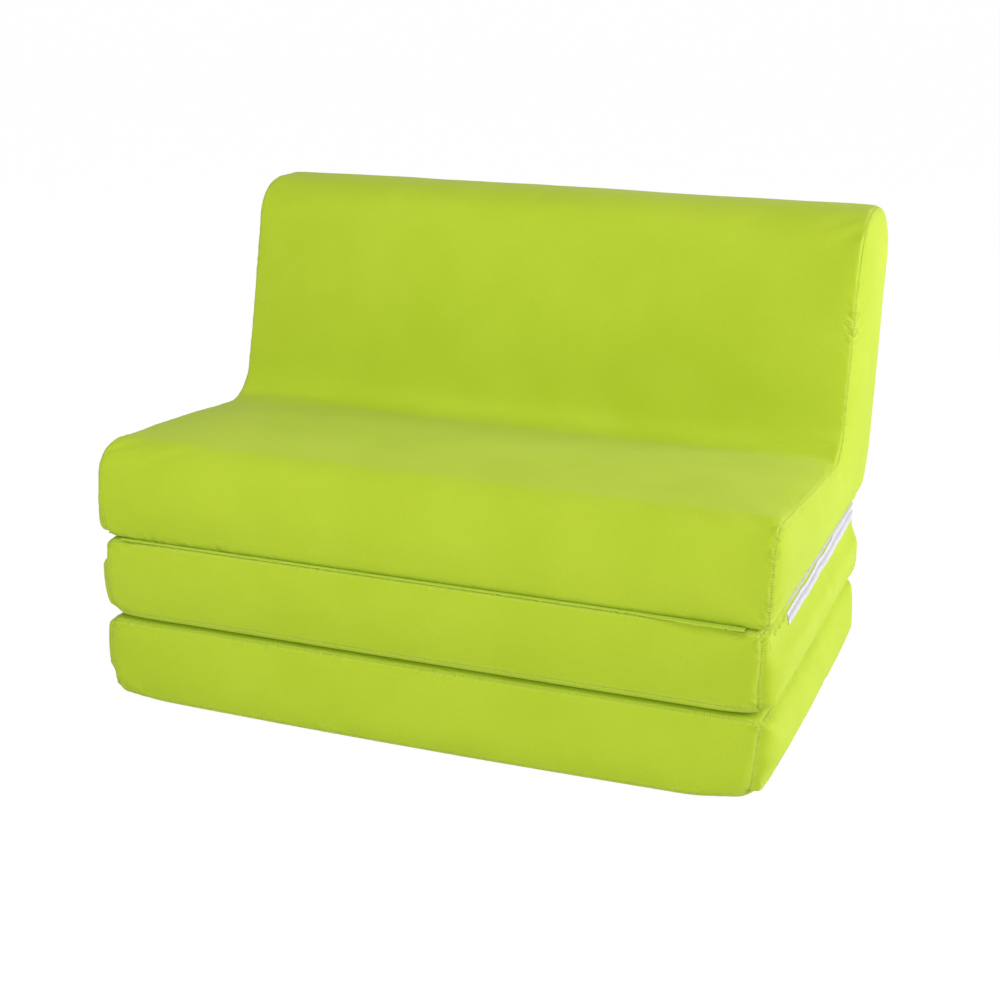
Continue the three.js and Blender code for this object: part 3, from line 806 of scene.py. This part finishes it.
def cut_panels(piece, names, wall=0.0014):
    """Takes the cover apart at its seams and gives each panel its thickness. Names go by panel number."""
    made = {}
    used = sorted(set(read(piece.data.polygons, "material_index").tolist()))
    for number in used[:-1]:
        work_on(piece)
        edit(bpy.ops.mesh.select_mode, type="FACE")
        edit(bpy.ops.mesh.select_all, action="DESELECT")
        faces = piece.data.polygons
        faces.foreach_set("select", read(faces, "material_index") == number)
        edit(bpy.ops.mesh.separate, type="SELECTED")
        made[number] = next(thing for thing in bpy.context.selected_objects if thing is not piece)
    made[used[-1]] = piece
    for number, panel in made.items():
        give_finish(panel, names[number], cloth)
        apply_modifier(panel, "SOLIDIFY", thickness=wall, offset=-1)
        work_on(panel)
        bpy.ops.object.shade_smooth()
        panel.data.update()
    return {names[number]: panel for number, panel in made.items()}


print("seam helpers ready")

# %% [markdown]
# The two mattress cushions are flat boxes with a seam along every edge. Their fronts are rounder than their
# rears. The top of each lies on foam or under it, so it stays flat, and the four sides swell.

# %% Mattress cushions
mattress_turns = [(0, 0.8), (1, 0.5), (1, 0.5), (2, 0.5), (3, 0.5), (3, 0.5)]


def mattress_corners(floor, low_radius=0.022, high_radius=0.022):
    low, high = floor, floor + mattress_height
    return [
        {"place": (front_plane, low), "radius": low_radius, "crown": mattress_crown},
        {"place": (front_plane, high), "radius": high_radius},
        {"place": (rear_plane, high), "radius": 0.012, "crown": mattress_crown},
        {"place": (rear_plane, low), "radius": 0.012},
    ]


def stillness(*levels):
    """How freely the cover may wander: not at all on the flat faces where cushions meet."""
    def free(places):
        away = np.min([np.abs(places[:, 2] - level) for level in levels], axis=0)
        return share_of(away, 0, 0.015)
    return free


rear_corner_radius = 0.014
floor_level = 0.02


def round_mattress(places, floor, radii):
    """Softens a mattress cushion's corners: the radii are for its low left, low right and high front ones."""
    low_left, low_right, high = radii
    corners = list(itertools.product(
        (-mattress_half, mattress_half), (front_plane, rear_plane), (floor, floor + mattress_height)))
    each = [rear_corner_radius if y == rear_plane else high if z > floor else low_left if x < 0 else low_right
            for x, y, z in corners]
    centre = (0, (front_plane + rear_plane) / 2, floor + mattress_height / 2)
    return soften_corners(places, corners, each, centre)


def bow_right(places, most):
    """The lowest cushion's right end bows out near the floor, most of all half way back."""
    near = share_of(places[:, 0], 0.45, 0.59)
    along = np.sin(np.pi * share_of(places[:, 1], front_plane, rear_plane))
    places[:, 0] += most * near * near * along * np.exp(-((places[:, 2] - floor_level) / 0.05) ** 2)
    return places


def hold_rear(places, most):
    """Opened flat, the two cushions lie end to end, so a rear swells to the given measure and no further."""
    over = np.maximum(0, places[:, 1] - rear_plane)
    places[:, 1] -= over - most * over / (most + over)
    return places


def push_belly(places, most):
    """The lowest cushion's front swells forward near the floor, under the weight of the others."""
    wide = np.cos(np.pi / 2 * np.clip(places[:, 0] / mattress_half, -1, 1))
    front = share_of(places[:, 1], front_plane + 0.06, front_plane + 0.01)
    places[:, 1] -= most * wide ** 0.7 * front * np.exp(-((places[:, 2] - floor_level) / 0.06) ** 2)
    return places


def add_mattress(name, floor, low_radius, high_radius, corner_radii, zip_level, seed):
    cushion = Cushion(
        name + "_cover", mattress_corners(floor, low_radius, high_radius), mattress_half, (92, 58, 16),
        mattress_turns, 0, end_crown=0.025, end_run=0.065)
    low = (-mattress_half, front_plane, floor)
    high = (mattress_half, rear_plane, floor + mattress_height)
    cover = lay_out_cushion(cushion, low, high)
    swell_cover(cover, held_panels=(1, 3), most=0.007)
    levels = (floor, floor + mattress_height)
    move_to(cover, round_mattress(places_of(cover), floor, corner_radii))
    spots = [((x, front_plane, level), 0.045) for x in (-mattress_half, mattress_half) for level in levels]
    sew_seams(cover, cushion, seed, stillness(*levels), spots)
    places = fill_left_end(places_of(cover), *levels, most=0.008)
    places = press_out_right(places, middle_floor, most=0.007)
    if floor == 0:
        places = bow_right(push_belly(places, most=0.014), most=0.007)
    reach = places[:, 1].max()
    places = hold_rear(places, most=0.0115)
    print(name, "rear reach", round(float(reach), 4), "held at", round(float(places[:, 1].max()), 4))
    move_to(cover, keep_slider_lane(places, zip_level))
    panels = cut_panels(cover, {number: f"{name}_{word}_panel" for number, word in enumerate(panel_names)})
    for word in panel_names:
        panel = panels[f"{name}_{word}_panel"]
        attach(panel, name + "_mattress")
        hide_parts(f"{name}_cover_{word}")
        print(panel.name, len(panel.data.vertices), "points")
    return panels


panels = {}
bottom_radii = (0.028, 0.043, 0.022)
middle_radii = (0.032, 0.034, 0.020)
panels.update(add_mattress(
    "bottom", 0.0, low_radius=0.012, high_radius=0.022, corner_radii=bottom_radii,
    zip_level=zip_middle, seed=1))
panels.update(add_mattress(
    "middle", middle_floor, low_radius=0.022, high_radius=0.010, corner_radii=middle_radii,
    zip_level=middle_floor + mattress_height - zip_middle, seed=20))

# %% [markdown]
# The seat unit is one bent cushion. A single panel runs from the base over the front, the seat, the
# backrest, its top and its rear, and an L-shaped panel closes each end. Its side outline has the fitted
# corners, with a hollow where the seat meets the backrest, and the grid's long way follows the bend.

# %% Seat unit
seat_depth, seat_height = 0.890, 0.554
seat_base_depth = 0.738
seat_turns = [(0, 0), (1, 0.5), (2, 0.5), (3, 0.5), (4, 0.5), (6, 1)]


def seat_corners():
    def corner(y, z, radius, crown=0.0):
        return {"place": (front_plane + y, seat_floor + z), "radius": radius, "crown": crown}
    return [
        corner(0, 0, 0.010, seat_crown),
        corner(0.022, 0.166, 0.055, seat_crown),
        corner(0.548, 0.126, 0.060, seat_crown),
        corner(0.642, seat_height, 0.098),
        corner(seat_depth, seat_height, 0.098, seat_crown),
        corner(0.790, 0.070, 0.060),
        corner(seat_base_depth, 0, 0.015),
    ]


def settle_back(places):
    """The backrest's top dips a little towards its left end and stands a little higher in its middle."""
    high = ease(share_of(places[:, 2], 0.5, 0.8))
    across = places[:, 0] / seat_half
    rise = 0.0045 * np.cos(np.pi / 2 * np.clip(across, -1, 1)) - 0.008 * np.clip(-across, 0, 1) ** 2
    places[:, 2] += rise * high
    return places


def lift_seat_left(places, most):
    """The seat is fullest beside its left end."""
    near = ease(share_of(places[:, 0], -0.30, -0.55))
    along = np.sin(np.pi * share_of(places[:, 1], front_plane, front_plane + 0.46))
    high = share_of(places[:, 2], seat_floor + 0.08, seat_floor + 0.14)
    places[:, 2] += most * near * along * high
    return places


def hold_low_edge(places):
    """Beside its zip the right end stands flat, so that the zip's outer tape shows under it."""
    away = ease(share_of(places[:, 2], seat_floor + 0.006, seat_floor + 0.041))
    over = np.maximum(0, places[:, 0] - seat_half)
    places[:, 0] -= over * (1 - away) * 0.9
    return places


def press_channel(places):
    """A shallow channel round three sides of the base, in which the seat unit's zip lies."""
    inside = np.minimum(seat_half - np.abs(places[:, 0]), front_plane + seat_base_depth - places[:, 1])
    deep = share_of(inside, 0.004, 0.008) * share_of(inside, 0.034, 0.028)
    base = (places[:, 2] < seat_floor + 0.001) & (places[:, 1] > front_plane + 0.03)
    places[:, 2] += np.where(base, 0.0046 * deep, 0)
    return places


def add_seat_unit(seed):
    cushion = Cushion(
        "seat_cover", seat_corners(), seat_half, (92, 92, 18), seat_turns, 48, end_crown=0.012, end_run=0.06)
    low = (-seat_half, front_plane, seat_floor)
    high = (seat_half, front_plane + seat_depth, seat_floor + seat_height)
    cover = lay_out_cushion(cushion, low, high)
    swell_cover(cover, held_panels=(3,), most=0.009)
    spots = [
        ((-0.55, front_plane, seat_floor), 0.07),
        ((-0.45, front_plane, seat_floor), 0.07),
        ((-0.36, front_plane, seat_floor), 0.05),
        ((seat_half, front_plane + 0.02, seat_floor + 0.14), 0.05),
        ((seat_half, front_plane, seat_floor + 0.03), 0.03),
        ((seat_half, front_plane + 0.60, seat_floor + 0.36), 0.03),
    ]
    sew_seams(cover, cushion, seed, stillness(seat_floor), spots)
    places = fill_left_end(places_of(cover), seat_floor, seat_floor + 0.17, most=0.007)
    places[:, 0] -= 0.005 * share_of(places[:, 0], -0.35, -0.60)
    low_corners = [(x, front_plane, seat_floor) for x in (-seat_half, seat_half)]
    places = soften_corners(places, low_corners, (0.024, 0.014), (0, 0, seat_floor + 0.1))
    places = lift_seat_left(settle_back(places), most=0.005)
    move_to(cover, press_channel(hold_low_edge(places)))
    words = {0: "wrap", 3: "base", 4: "right_end", 5: "left_end"}
    panels = cut_panels(cover, {number: f"seat_{word}_panel" for number, word in words.items()})
    for word in words.values():
        name = f"seat_{word}_panel"
        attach(panels[name], "seat_unit")
        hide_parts(f"seat_cover_{word}")
        print(name, len(panels[name].data.vertices), "points")
    return panels


panels.update(add_seat_unit(seed=40))

# %% [markdown]
# Inside each cover is its foam, a little smaller than the cover. It is a coarser cushion form, drawn in
# from the cover, and the seat unit's foam is cut in two where its seat slab and its back block are glued.

# %% Foam cores
foam_inset = 0.011


def cut_foam_core(name, corners, half, cuts, turns, split, body, nodes, glue=None, radius=0.0):
    plain = [dict(corner, crown=0.0) for corner in corners]
    cushion = Cushion(
        name, plain, half - end_radius, cuts, turns, split, end_crown=0.0, end_run=0.05, inset=foam_inset)
    places = np.array([corner["place"] for corner in corners])
    low, high = (-half, *places.min(axis=0)), (half, *places.max(axis=0))
    core = lay_out_cushion(cushion, low, high)
    if radius:
        shape = places_of(core)
        lowest, highest = shape.min(axis=0), shape.max(axis=0)
        ends = [np.where(pick, highest, lowest) for pick in itertools.product((False, True), repeat=3)]
        move_to(core, soften_corners(shape, ends, [radius] * 8, (lowest + highest) / 2))
    parts = [core]
    if glue:
        work_on(core)
        bpy.ops.object.duplicate()
        parts.append(bpy.context.active_object)
    for number, (part, node) in enumerate(zip(parts, nodes)):
        if glue:
            work_on(part)
            edit(bpy.ops.mesh.select_all, action="SELECT")
            edit(
                bpy.ops.mesh.bisect, plane_co=(0, glue + (number - 0.5) * gap, 0), plane_no=(0, 1, 0),
                use_fill=True, clear_outer=number == 0, clear_inner=number == 1)
        give_finish(part, node + "_core", foam)
        work_on(part)
        bpy.ops.object.shade_smooth_by_angle(angle=math.radians(40))
        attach(part, body)
        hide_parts(node)
        print(part.name, len(part.data.vertices), "points")


for name, level in (("bottom", 0.0), ("middle", middle_floor)):
    cut_foam_core(
        name + "_core", mattress_corners(level), mattress_half, (40, 26, 8), mattress_turns, split=0,
        body=name + "_mattress", nodes=[name + "_foam"], radius=0.075)
cut_foam_core(
    "seat_core", seat_corners(), seat_half, (40, 44, 8), seat_turns, split=23, body="seat_unit",
    nodes=["seat_foam", "back_foam"], glue=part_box("seat_foam")[1][1])

# %% [markdown]
# A zip runs round the right, rear and left sides of each cushion, so that the foam can be taken out. Its
# two tapes are thin woven strips with a coil between them. They are laid on the swollen cover by looking
# straight in at it from outside. On the right side they waver a little: the lowest zip sags, and the middle
# one starts low and rises towards the rear.

# %% Zip finishes
def tape_finish():
    finish = Finish("zip_tape", {"Roughness": 0.8, "Specular IOR Level": 0.3})
    run = finish.place("UV")
    along, across = finish.first_two(run)
    ribs = (along * 5200.0).sine()
    cords = (across * 6300.0).sine()
    soil = finish.noise(run, 60.0, 3.0)
    tone = finish.between(finish.smooth_step(soil, 0.3, 0.8), (0.66, 0.68, 0.61, 1), (0.57, 0.59, 0.54, 1))
    finish.drive("Base Color", tone)
    finish.bumps(ribs * cords * 0.00006)
    return finish.material


def coil_finish():
    finish = Finish("zip_coil", {"Specular IOR Level": 0.5})
    place = finish.place()
    haze = finish.noise(place, 180.0, 2.0)
    tone = finish.between(finish.smooth_step(haze, 0.3, 0.7), (0.58, 0.60, 0.55, 1), (0.66, 0.68, 0.63, 1))
    finish.drive("Base Color", tone)
    finish.drive("Roughness", 0.35 + 0.2 * haze)
    return finish.material


def slider_finish():
    finish = Finish("zip_metal", {"Metallic": 1.0})
    place = finish.place()
    scratches = finish.noise(finish.scaled(place, (300.0, 2600.0, 2600.0)), 1.0, 3.0, 0.6)
    worn = finish.smooth_step(scratches, 0.3, 0.8)
    tone = finish.between(worn, (0.52, 0.52, 0.53, 1), (0.66, 0.66, 0.67, 1))
    finish.drive("Base Color", tone)
    finish.drive("Roughness", 0.24 + 0.22 * scratches)
    finish.bumps(scratches * 0.00004)
    return finish.material


tape, coil, metal = tape_finish(), coil_finish(), slider_finish()

# %% [markdown]
# A zip's course on plan is a line of points with the direction out of the cushion at each. Every strip is a grid
# of points that is laid along that line, and its flat measures go into the UV map in metres.

# %% Zips
zip_setback = 0.105
zip_step = 0.004


def zip_run(half, rear, radius, short=0.0):
    """Points along a zip on plan and the directions out of the cushion, from the right round to the left."""
    start = front_plane + zip_setback
    points, ways = [], []
    for y in np.arange(start, rear - radius, zip_step):
        points.append((half, y))
        ways.append((1, 0))
    for angle in np.linspace(0, math.pi / 2, 7):
        points.append((half - radius + radius * math.cos(angle), rear - radius + radius * math.sin(angle)))
        ways.append((math.cos(angle), math.sin(angle)))
    for x in np.arange(half - radius - zip_step, 0, -zip_step):
        points.append((x, rear))
        ways.append((0, 1))
    points, ways = np.array(points), np.array(ways)
    mirror = np.array([-1, 1])
    shown = points[:, 1] >= start + short
    return (np.concatenate([points[shown], points[::-1] * mirror]),
            np.concatenate([ways[shown], ways[::-1] * mirror]))


def surface_of(pieces):
    corners, faces = [], []
    for piece in pieces:
        base = len(corners)
        corners.extend(vertex.co.copy() for vertex in piece.data.vertices)
        faces.extend([base + corner for corner in face.vertices] for face in piece.data.polygons)
    return BVHTree.FromPolygons(corners, faces)


def rest_on(surface, point, way, stand=0.06):
    """Where a look from outside meets the cover."""
    hit = surface.ray_cast(point + way * stand, -way, 2 * stand)[0]
    return hit if hit else point


def lengths_along(points):
    """How far along a line each of its points lies."""
    return np.concatenate([[0], np.cumsum(np.linalg.norm(np.diff(points, axis=0), axis=1))])


def lay_strip(name, rows, wall, finish, body, node):
    """A strip of cloth through rows of points, one row for each step along it, with its thickness."""
    count, wide = len(rows), len(rows[0])
    alone()
    bpy.ops.mesh.primitive_grid_add(x_subdivisions=count - 1, y_subdivisions=wide - 1, size=2)
    strip = bpy.context.active_object
    strip.name = strip.data.name = name
    shares = np.rint((places_of(strip)[:, :2] + 1) / 2 * np.array([count - 1, wide - 1])).astype(int)
    table = np.array(rows)
    along, over = lengths_along(table[:, 0]), lengths_along(table[0])
    flat = np.column_stack([along[shares[:, 0]], over[shares[:, 1]]])[read(strip.data.loops, "vertex_index")]
    strip.data.uv_layers[0].data.foreach_set("uv", flat.astype(np.float32).ravel())
    move_to(strip, table[shares[:, 0], shares[:, 1]])
    strip.data.materials.append(finish)
    apply_modifier(strip, "SOLIDIFY", thickness=wall, offset=1)
    work_on(strip)
    bpy.ops.object.shade_smooth_by_angle(angle=math.radians(50))
    if body:
        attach(strip, body)
    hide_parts(*([node] if isinstance(node, str) else node))
    print(name, len(strip.data.vertices), "points")
    return strip


print("zip helpers ready")

# %% [markdown]
# The coil is a nylon spiral: one bead of it is modelled and copied at an even pitch along the zip. Each
# copy is turned to the zip's course and stands on the cover.

# %% Coils
bead_pitch = 0.0022


def zip_bead():
    """One turn of the coil: a small bar with all its edges rounded."""
    alone()
    bpy.ops.mesh.primitive_cube_add(size=1, scale=(0.0013, 0.0052, 0.0013))
    bead = bpy.context.active_object
    bpy.ops.object.transform_apply(location=True, rotation=False, scale=True)
    edit(bpy.ops.mesh.select_all, action="SELECT")
    edit(bpy.ops.mesh.bevel, offset=0.00035, segments=1)
    places = places_of(bead)
    faces = [list(face.vertices) for face in bead.data.polygons]
    bpy.data.objects.remove(bead)
    return places, faces


bead_places, bead_faces = zip_bead()


def string_beads(strip, rows, stand):
    """Copies of the bead along the middle of a strip's rows, joined to the strip."""
    table = np.array(rows)
    middle = table.mean(axis=1)
    along = lengths_along(middle)
    stations = np.arange(bead_pitch / 2, along[-1], bead_pitch)
    pick = lambda values: np.stack([np.interp(stations, along, values[:, axis]) for axis in range(3)], -1)
    centre = pick(middle)
    course = pick(np.gradient(middle, axis=0))
    course /= np.linalg.norm(course, axis=1, keepdims=True)
    over = pick(table[:, -1] - table[:, 0])
    out = np.cross(course, over)
    out /= np.linalg.norm(out, axis=1, keepdims=True)
    over = np.cross(out, course)
    local = bead_places[None]
    places = (centre[:, None] + local[..., :1] * course[:, None] + local[..., 1:2] * over[:, None]
              + (local[..., 2:] + stand) * out[:, None])
    faces = [[corner + number * len(bead_places) for corner in face]
             for number in range(len(stations)) for face in bead_faces]
    mesh = bpy.data.meshes.new(strip.name + "_beads")
    mesh.from_pydata(places.reshape(-1, 3).tolist(), [], faces)
    beads = bpy.data.objects.new(mesh.name, mesh)
    bpy.context.collection.objects.link(beads)
    mesh.materials.append(coil)
    work_on(strip)
    beads.select_set(True)
    bpy.ops.object.join()
    print(strip.name, len(stations), "beads")


# %% [markdown]
# The mattress zips lie on the sides of their cushions, near one edge. A tab of gathered cloth covers each
# end.

# %% Mattress zips
zip_strips = {
    "outer_tape": (0.0, zip_tape_width),
    "coil": (zip_tape_width + gap, zip_coil_width),
    "inner_tape": (zip_tape_width + zip_coil_width + 2 * gap, zip_tape_width),
}
strip_looks = {
    "outer_tape": (0.0008, tape, "zip_tape"),
    "coil": (0.0005, coil, "zip_coil"),
    "inner_tape": (0.0008, tape, "zip_tape"),
}
bead_stand = 0.0009
gather_step = 0.0022


def lay_zip_strip(node, word, rows, body):
    thick, finish, slot = strip_looks[word]
    strip = lay_strip(node + "_strip", rows, thick, finish, body, node)
    if word == "coil":
        string_beads(strip, rows, bead_stand)


def sag_of(point, most, lift):
    """How far the zip hangs below its line at a place on plan: on the right side only, with small wavers."""
    share = share_of(point[1], front_plane + zip_setback, rear_plane)
    wave = 0.0011 * math.sin(point[1] * 39) + 0.0007 * math.sin(point[1] * 87 + 1)
    held = math.sin(math.pi * share)
    raised = lift * share ** 2 * (1 - share ** 30) - 0.3 * lift * (1 - share ** 6)
    return most * held + wave * held - raised if point[0] > 0.55 else 0.0


tab_overlap = 0.030


def add_mattress_zip(name, edge, direction, sag, lift):
    surface = surface_of([panels[f"{name}_{word}_panel"] for word in ("right", "rear", "left")])
    points, ways = zip_run(mattress_half, rear_plane, end_radius, tab_overlap)
    for word, (start, width) in zip_strips.items():
        levels = edge + direction * (end_radius + gap + start + width * np.linspace(0, 1, 4))
        rows = []
        for point, way in zip(points, ways):
            drop, out = sag_of(point, sag, lift), Vector((*way, 0))
            looks = [rest_on(surface, Vector((*point, level - drop)), out) for level in sorted(levels)]
            rows.append([tuple(hit + out * gap) for hit in looks])
        lay_zip_strip(f"{name}_zip_{word}", word, rows, name + "_mattress")
    floor, radii = (0.0, bottom_radii) if name == "bottom" else (middle_floor, middle_radii)
    add_end_tabs(name, surface, edge, direction, lift, lambda places: round_mattress(places, floor, radii))


def add_end_tabs(name, surface, edge, direction, lift, rounded):
    near = edge + direction * (end_radius + gap)
    far = near + direction * zip_band
    low, high = min(near, far), max(near, far)
    for side, word in ((1, "right"), (-1, "left")):
        node = f"{name}_zip_end_tab_{word}"
        front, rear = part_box(node)[0][1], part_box(node)[1][1]
        raised = -0.3 * lift if side > 0 else 0.0
        rear += tab_overlap if side > 0 else 0.0
        fullness = 1.0 if side > 0 and name == "middle" else 0.3
        rows = []
        for y in np.arange(front, rear + 0.003, gather_step):
            share = (y - front) / (rear - front)
            row = []
            for level in np.linspace(low - 0.001, high + 0.001, 15):
                start = rounded(np.array([[side * (mattress_half + 0.004), y, level + raised]]))[0]
                hit, out, _, _ = surface.find_nearest(start.tolist())
                upright = (level - low) / (high - low)
                course = 2 * math.pi * (level - 0.2 * y) / 0.0062
                course += 2.4 * noise.noise(Vector((y * 38, side, 7)))
                ridge = 0.0034 + 0.0026 * math.sin(course)
                ridge += 0.0010 * noise.noise(Vector((y * 210, level * 60, 3 + side)))
                ridge *= fullness * math.sin(math.pi * min(1, max(0, upright))) ** 0.6 * min(1, share * 4)
                row.append(tuple(hit + out * (max(0.0, ridge) - 0.0009)))
            rows.append(row if side > 0 else row[::-1])
        tab = lay_strip(f"{name}_{word}_end_tab", rows, 0.001, cloth, name + "_mattress", node)


add_mattress_zip("bottom", edge=0.0, direction=1, sag=0.002, lift=0.0)
add_mattress_zip("middle", edge=middle_floor + mattress_height, direction=-1, sag=0.0, lift=0.009)

# %% [markdown]
# The seat unit's zip lies flat in a shallow channel of its base, so that nothing of it presses on the
# cushion below.

# %% Seat zip
def add_seat_zip():
    inset = 0.0045
    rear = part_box("seat_zip_outer_tape")[1][1]
    points, ways = zip_run(seat_half - inset, rear, 0.034)
    for word, (start, width) in zip_strips.items():
        node = f"seat_zip_{word}"
        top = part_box(node)[1][2]
        rows = []
        for point, way in zip(points, ways):
            place, out = Vector((*point, top)), Vector((*way, 0))
            row = [place - out * (start + width * share) for share in np.linspace(1, 0, 4)]
            if word == "outer_tape" and point[0] > 0.5:
                ramp = min(1.0, (point[1] - front_plane - zip_setback) / 0.05)
                row[2] += Vector((0.0047, 0, -0.0004)) * ramp
                row[3] += Vector((0.0060, 0, -0.0024)) * ramp
            rows.append([tuple(spot) for spot in row[::-1]])
        lay_zip_strip(node, word, rows, "seat_unit")
    for word in ("right", "left"):
        node = f"seat_zip_end_tab_{word}"
        low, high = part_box(node)
        rows = []
        for y in np.arange(low[1], high[1], gather_step):
            row = []
            for x in np.linspace(low[0], high[0], 11):
                ridge = 0.0011 * noise.noise(Vector((x * 45, y * 190, 9)))
                row.append((x, y, high[2] - 0.0012 - abs(ridge)))
            rows.append(row[::-1])
        tab = lay_strip(f"seat_{word}_end_tab", rows, 0.001, cloth, "seat_unit", node)


add_seat_zip()

# %% [markdown]
# The cushions are joined by cloth hinges, each one strip that is folded in two and sewn to a cushion along
# either edge. The front one is gathered a little and shows between the seat unit and the middle cushion,
# most of all at its right end: the rest of it lies deeper in the fold.

# %% Cloth hinges
hinge_half = 0.561
leaf_puff = 0.0004


def add_hinge(name, axis_y, level, seam_upper, seam_lower, out, seed, recess):
    """The fold lies outwards of the seams along Y. All but the right end lies deeper, by the recess."""
    def leaf(seam, side):
        return [(seam + (axis_y - seam) * share,
                 level + side * (0.0010 + leaf_puff * math.sin(math.pi * min(1, share * 1.05)) ** 1.5))
                for share in np.linspace(0, 1, 7)]
    fold = (axis_y + out * 0.0004, level)
    section = np.array([*leaf(seam_upper, 1), fold, *leaf(seam_lower, -1)[::-1]])
    loose = np.sin(np.pi * np.linspace(0, 1, len(section)))
    rows = []
    for x in np.arange(-hinge_half, hinge_half + 0.001, gather_step):
        sunk = recess * (1 - min(1, max(0, (x - 0.38) / 0.10)))
        gather = noise.noise(Vector((x * 110, seed, 0))) + 0.6 * noise.noise(Vector((x * 230, seed, 4)))
        lift = 0.0015 * gather * loose
        rows.append([(x, y + out * (0.5 * dz - sunk * share), z + dz)
                     for (y, z), dz, share in zip(section, lift, loose)])
    if out > 0:
        rows = rows[::-1]
    leaves = (f"{name}_upper_leaf", f"{name}_lower_leaf")
    strip = lay_strip(name + "_strip", rows, 0.0009, cloth, None, leaves)
    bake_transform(strip)


upper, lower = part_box("front_hinge_upper_leaf"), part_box("front_hinge_lower_leaf")
add_hinge(
    "front_hinge", axis_y=upper[0][1] + gap, level=seat_floor - gap / 2, seam_upper=upper[1][1],
    seam_lower=lower[1][1], out=-1, seed=11, recess=0.008)
upper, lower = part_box("rear_hinge_upper_leaf"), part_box("rear_hinge_lower_leaf")
add_hinge(
    "rear_hinge", axis_y=upper[1][1] - gap, level=middle_floor - gap / 2, seam_upper=upper[0][1],
    seam_lower=lower[0][1], out=1, seed=12, recess=0.0)

# %% [markdown]
# The sliders and their pulls are rigid and keep the construction's own shapes. They get a metal finish,
# with bright scratches worn into it at random.

# %% Sliders
rigid = ("bottom_zip_slider", "middle_zip_slider", "seat_zip_slider", "bottom_zip_pull", "middle_zip_pull")
for name in rigid:
    frame["nodes"][name].data.materials.clear()
    frame["nodes"][name].data.materials.append(metal)
print("sliders finished")

# %% [markdown]
# A plain studio: a white floor and a white surround that the camera sees at full white, while the sofa gets
# less light from them. A large soft lamp on the right lights the ends most, and two broad lamps fill from
# high in front and from far in front.

# %% Studio
def seen_directly(nodes):
    """Is this ray seen by the camera, straight or in a reflection or through glass?"""
    kinds = ("Camera", "Glossy", "Transmission")
    straight, glossy, through = (nodes.node("ShaderNodeLightPath", output=f"Is {kind} Ray") for kind in kinds)
    return straight.maths("MAXIMUM", straight.maths("MAXIMUM", straight, glossy), through)


ambient = 0.30
world = bpy.data.worlds.new("studio")
world.use_nodes = True
bpy.context.scene.world = world
surround = world.node_tree.nodes["Background"]
surround.inputs["Color"].default_value = (1, 1, 1, 1)
light = seen_directly(Nodes(world.node_tree)) * (1 - ambient) + ambient
world.node_tree.links.new(light.socket, surround.inputs["Strength"])

bpy.ops.mesh.primitive_plane_add(size=60, location=(0, 0, -0.0006))
floor = bpy.context.active_object
floor.name = "floor"
floor_finish = Finish("floor", {"Base Color": (0.88, 0.88, 0.88, 1), "Roughness": 0.9})
lit = Signal(floor_finish, floor_finish.shader.outputs[0])
glow = floor_finish.node("ShaderNodeEmission", {}, {"Strength": 1.07})
blend = floor_finish.node("ShaderNodeMixShader", {}, {0: seen_directly(floor_finish) * 0.9, 1: lit, 2: glow})
floor_finish.tree.links.new(blend.socket, floor_finish.tree.nodes["Material Output"].inputs[0])
floor.data.materials.append(floor_finish.material)


def add_lamp(name, place, target, size, power, colour=(1, 1, 1)):
    data = bpy.data.lights.new(name, "AREA")
    data.shape = "RECTANGLE"
    data.size, data.size_y = size
    data.energy = power
    data.color = colour
    lamp = bpy.data.objects.new(name, data)
    bpy.context.collection.objects.link(lamp)
    way = Vector(target) - Vector(place)
    lamp.matrix_world = Matrix.Translation(place) @ way.to_track_quat("-Z", "Y").to_matrix().to_4x4()


add_lamp("side_lamp", (4.0, 0.8, 1.5), (0, 0, 0.4), (2.4, 2.0), 133, (1.0, 0.93, 1.22))
add_lamp("high_lamp", (0, -1.5, 2.6), (0, 0, 0.5), (2.0, 1.4), 28)
add_lamp("front_lamp", (-0.6, -5.5, 1.6), (0, 0, 0.5), (3.0, 2.0), 79)
bpy.context.scene.view_settings.view_transform = "Standard"
print("studio ready")
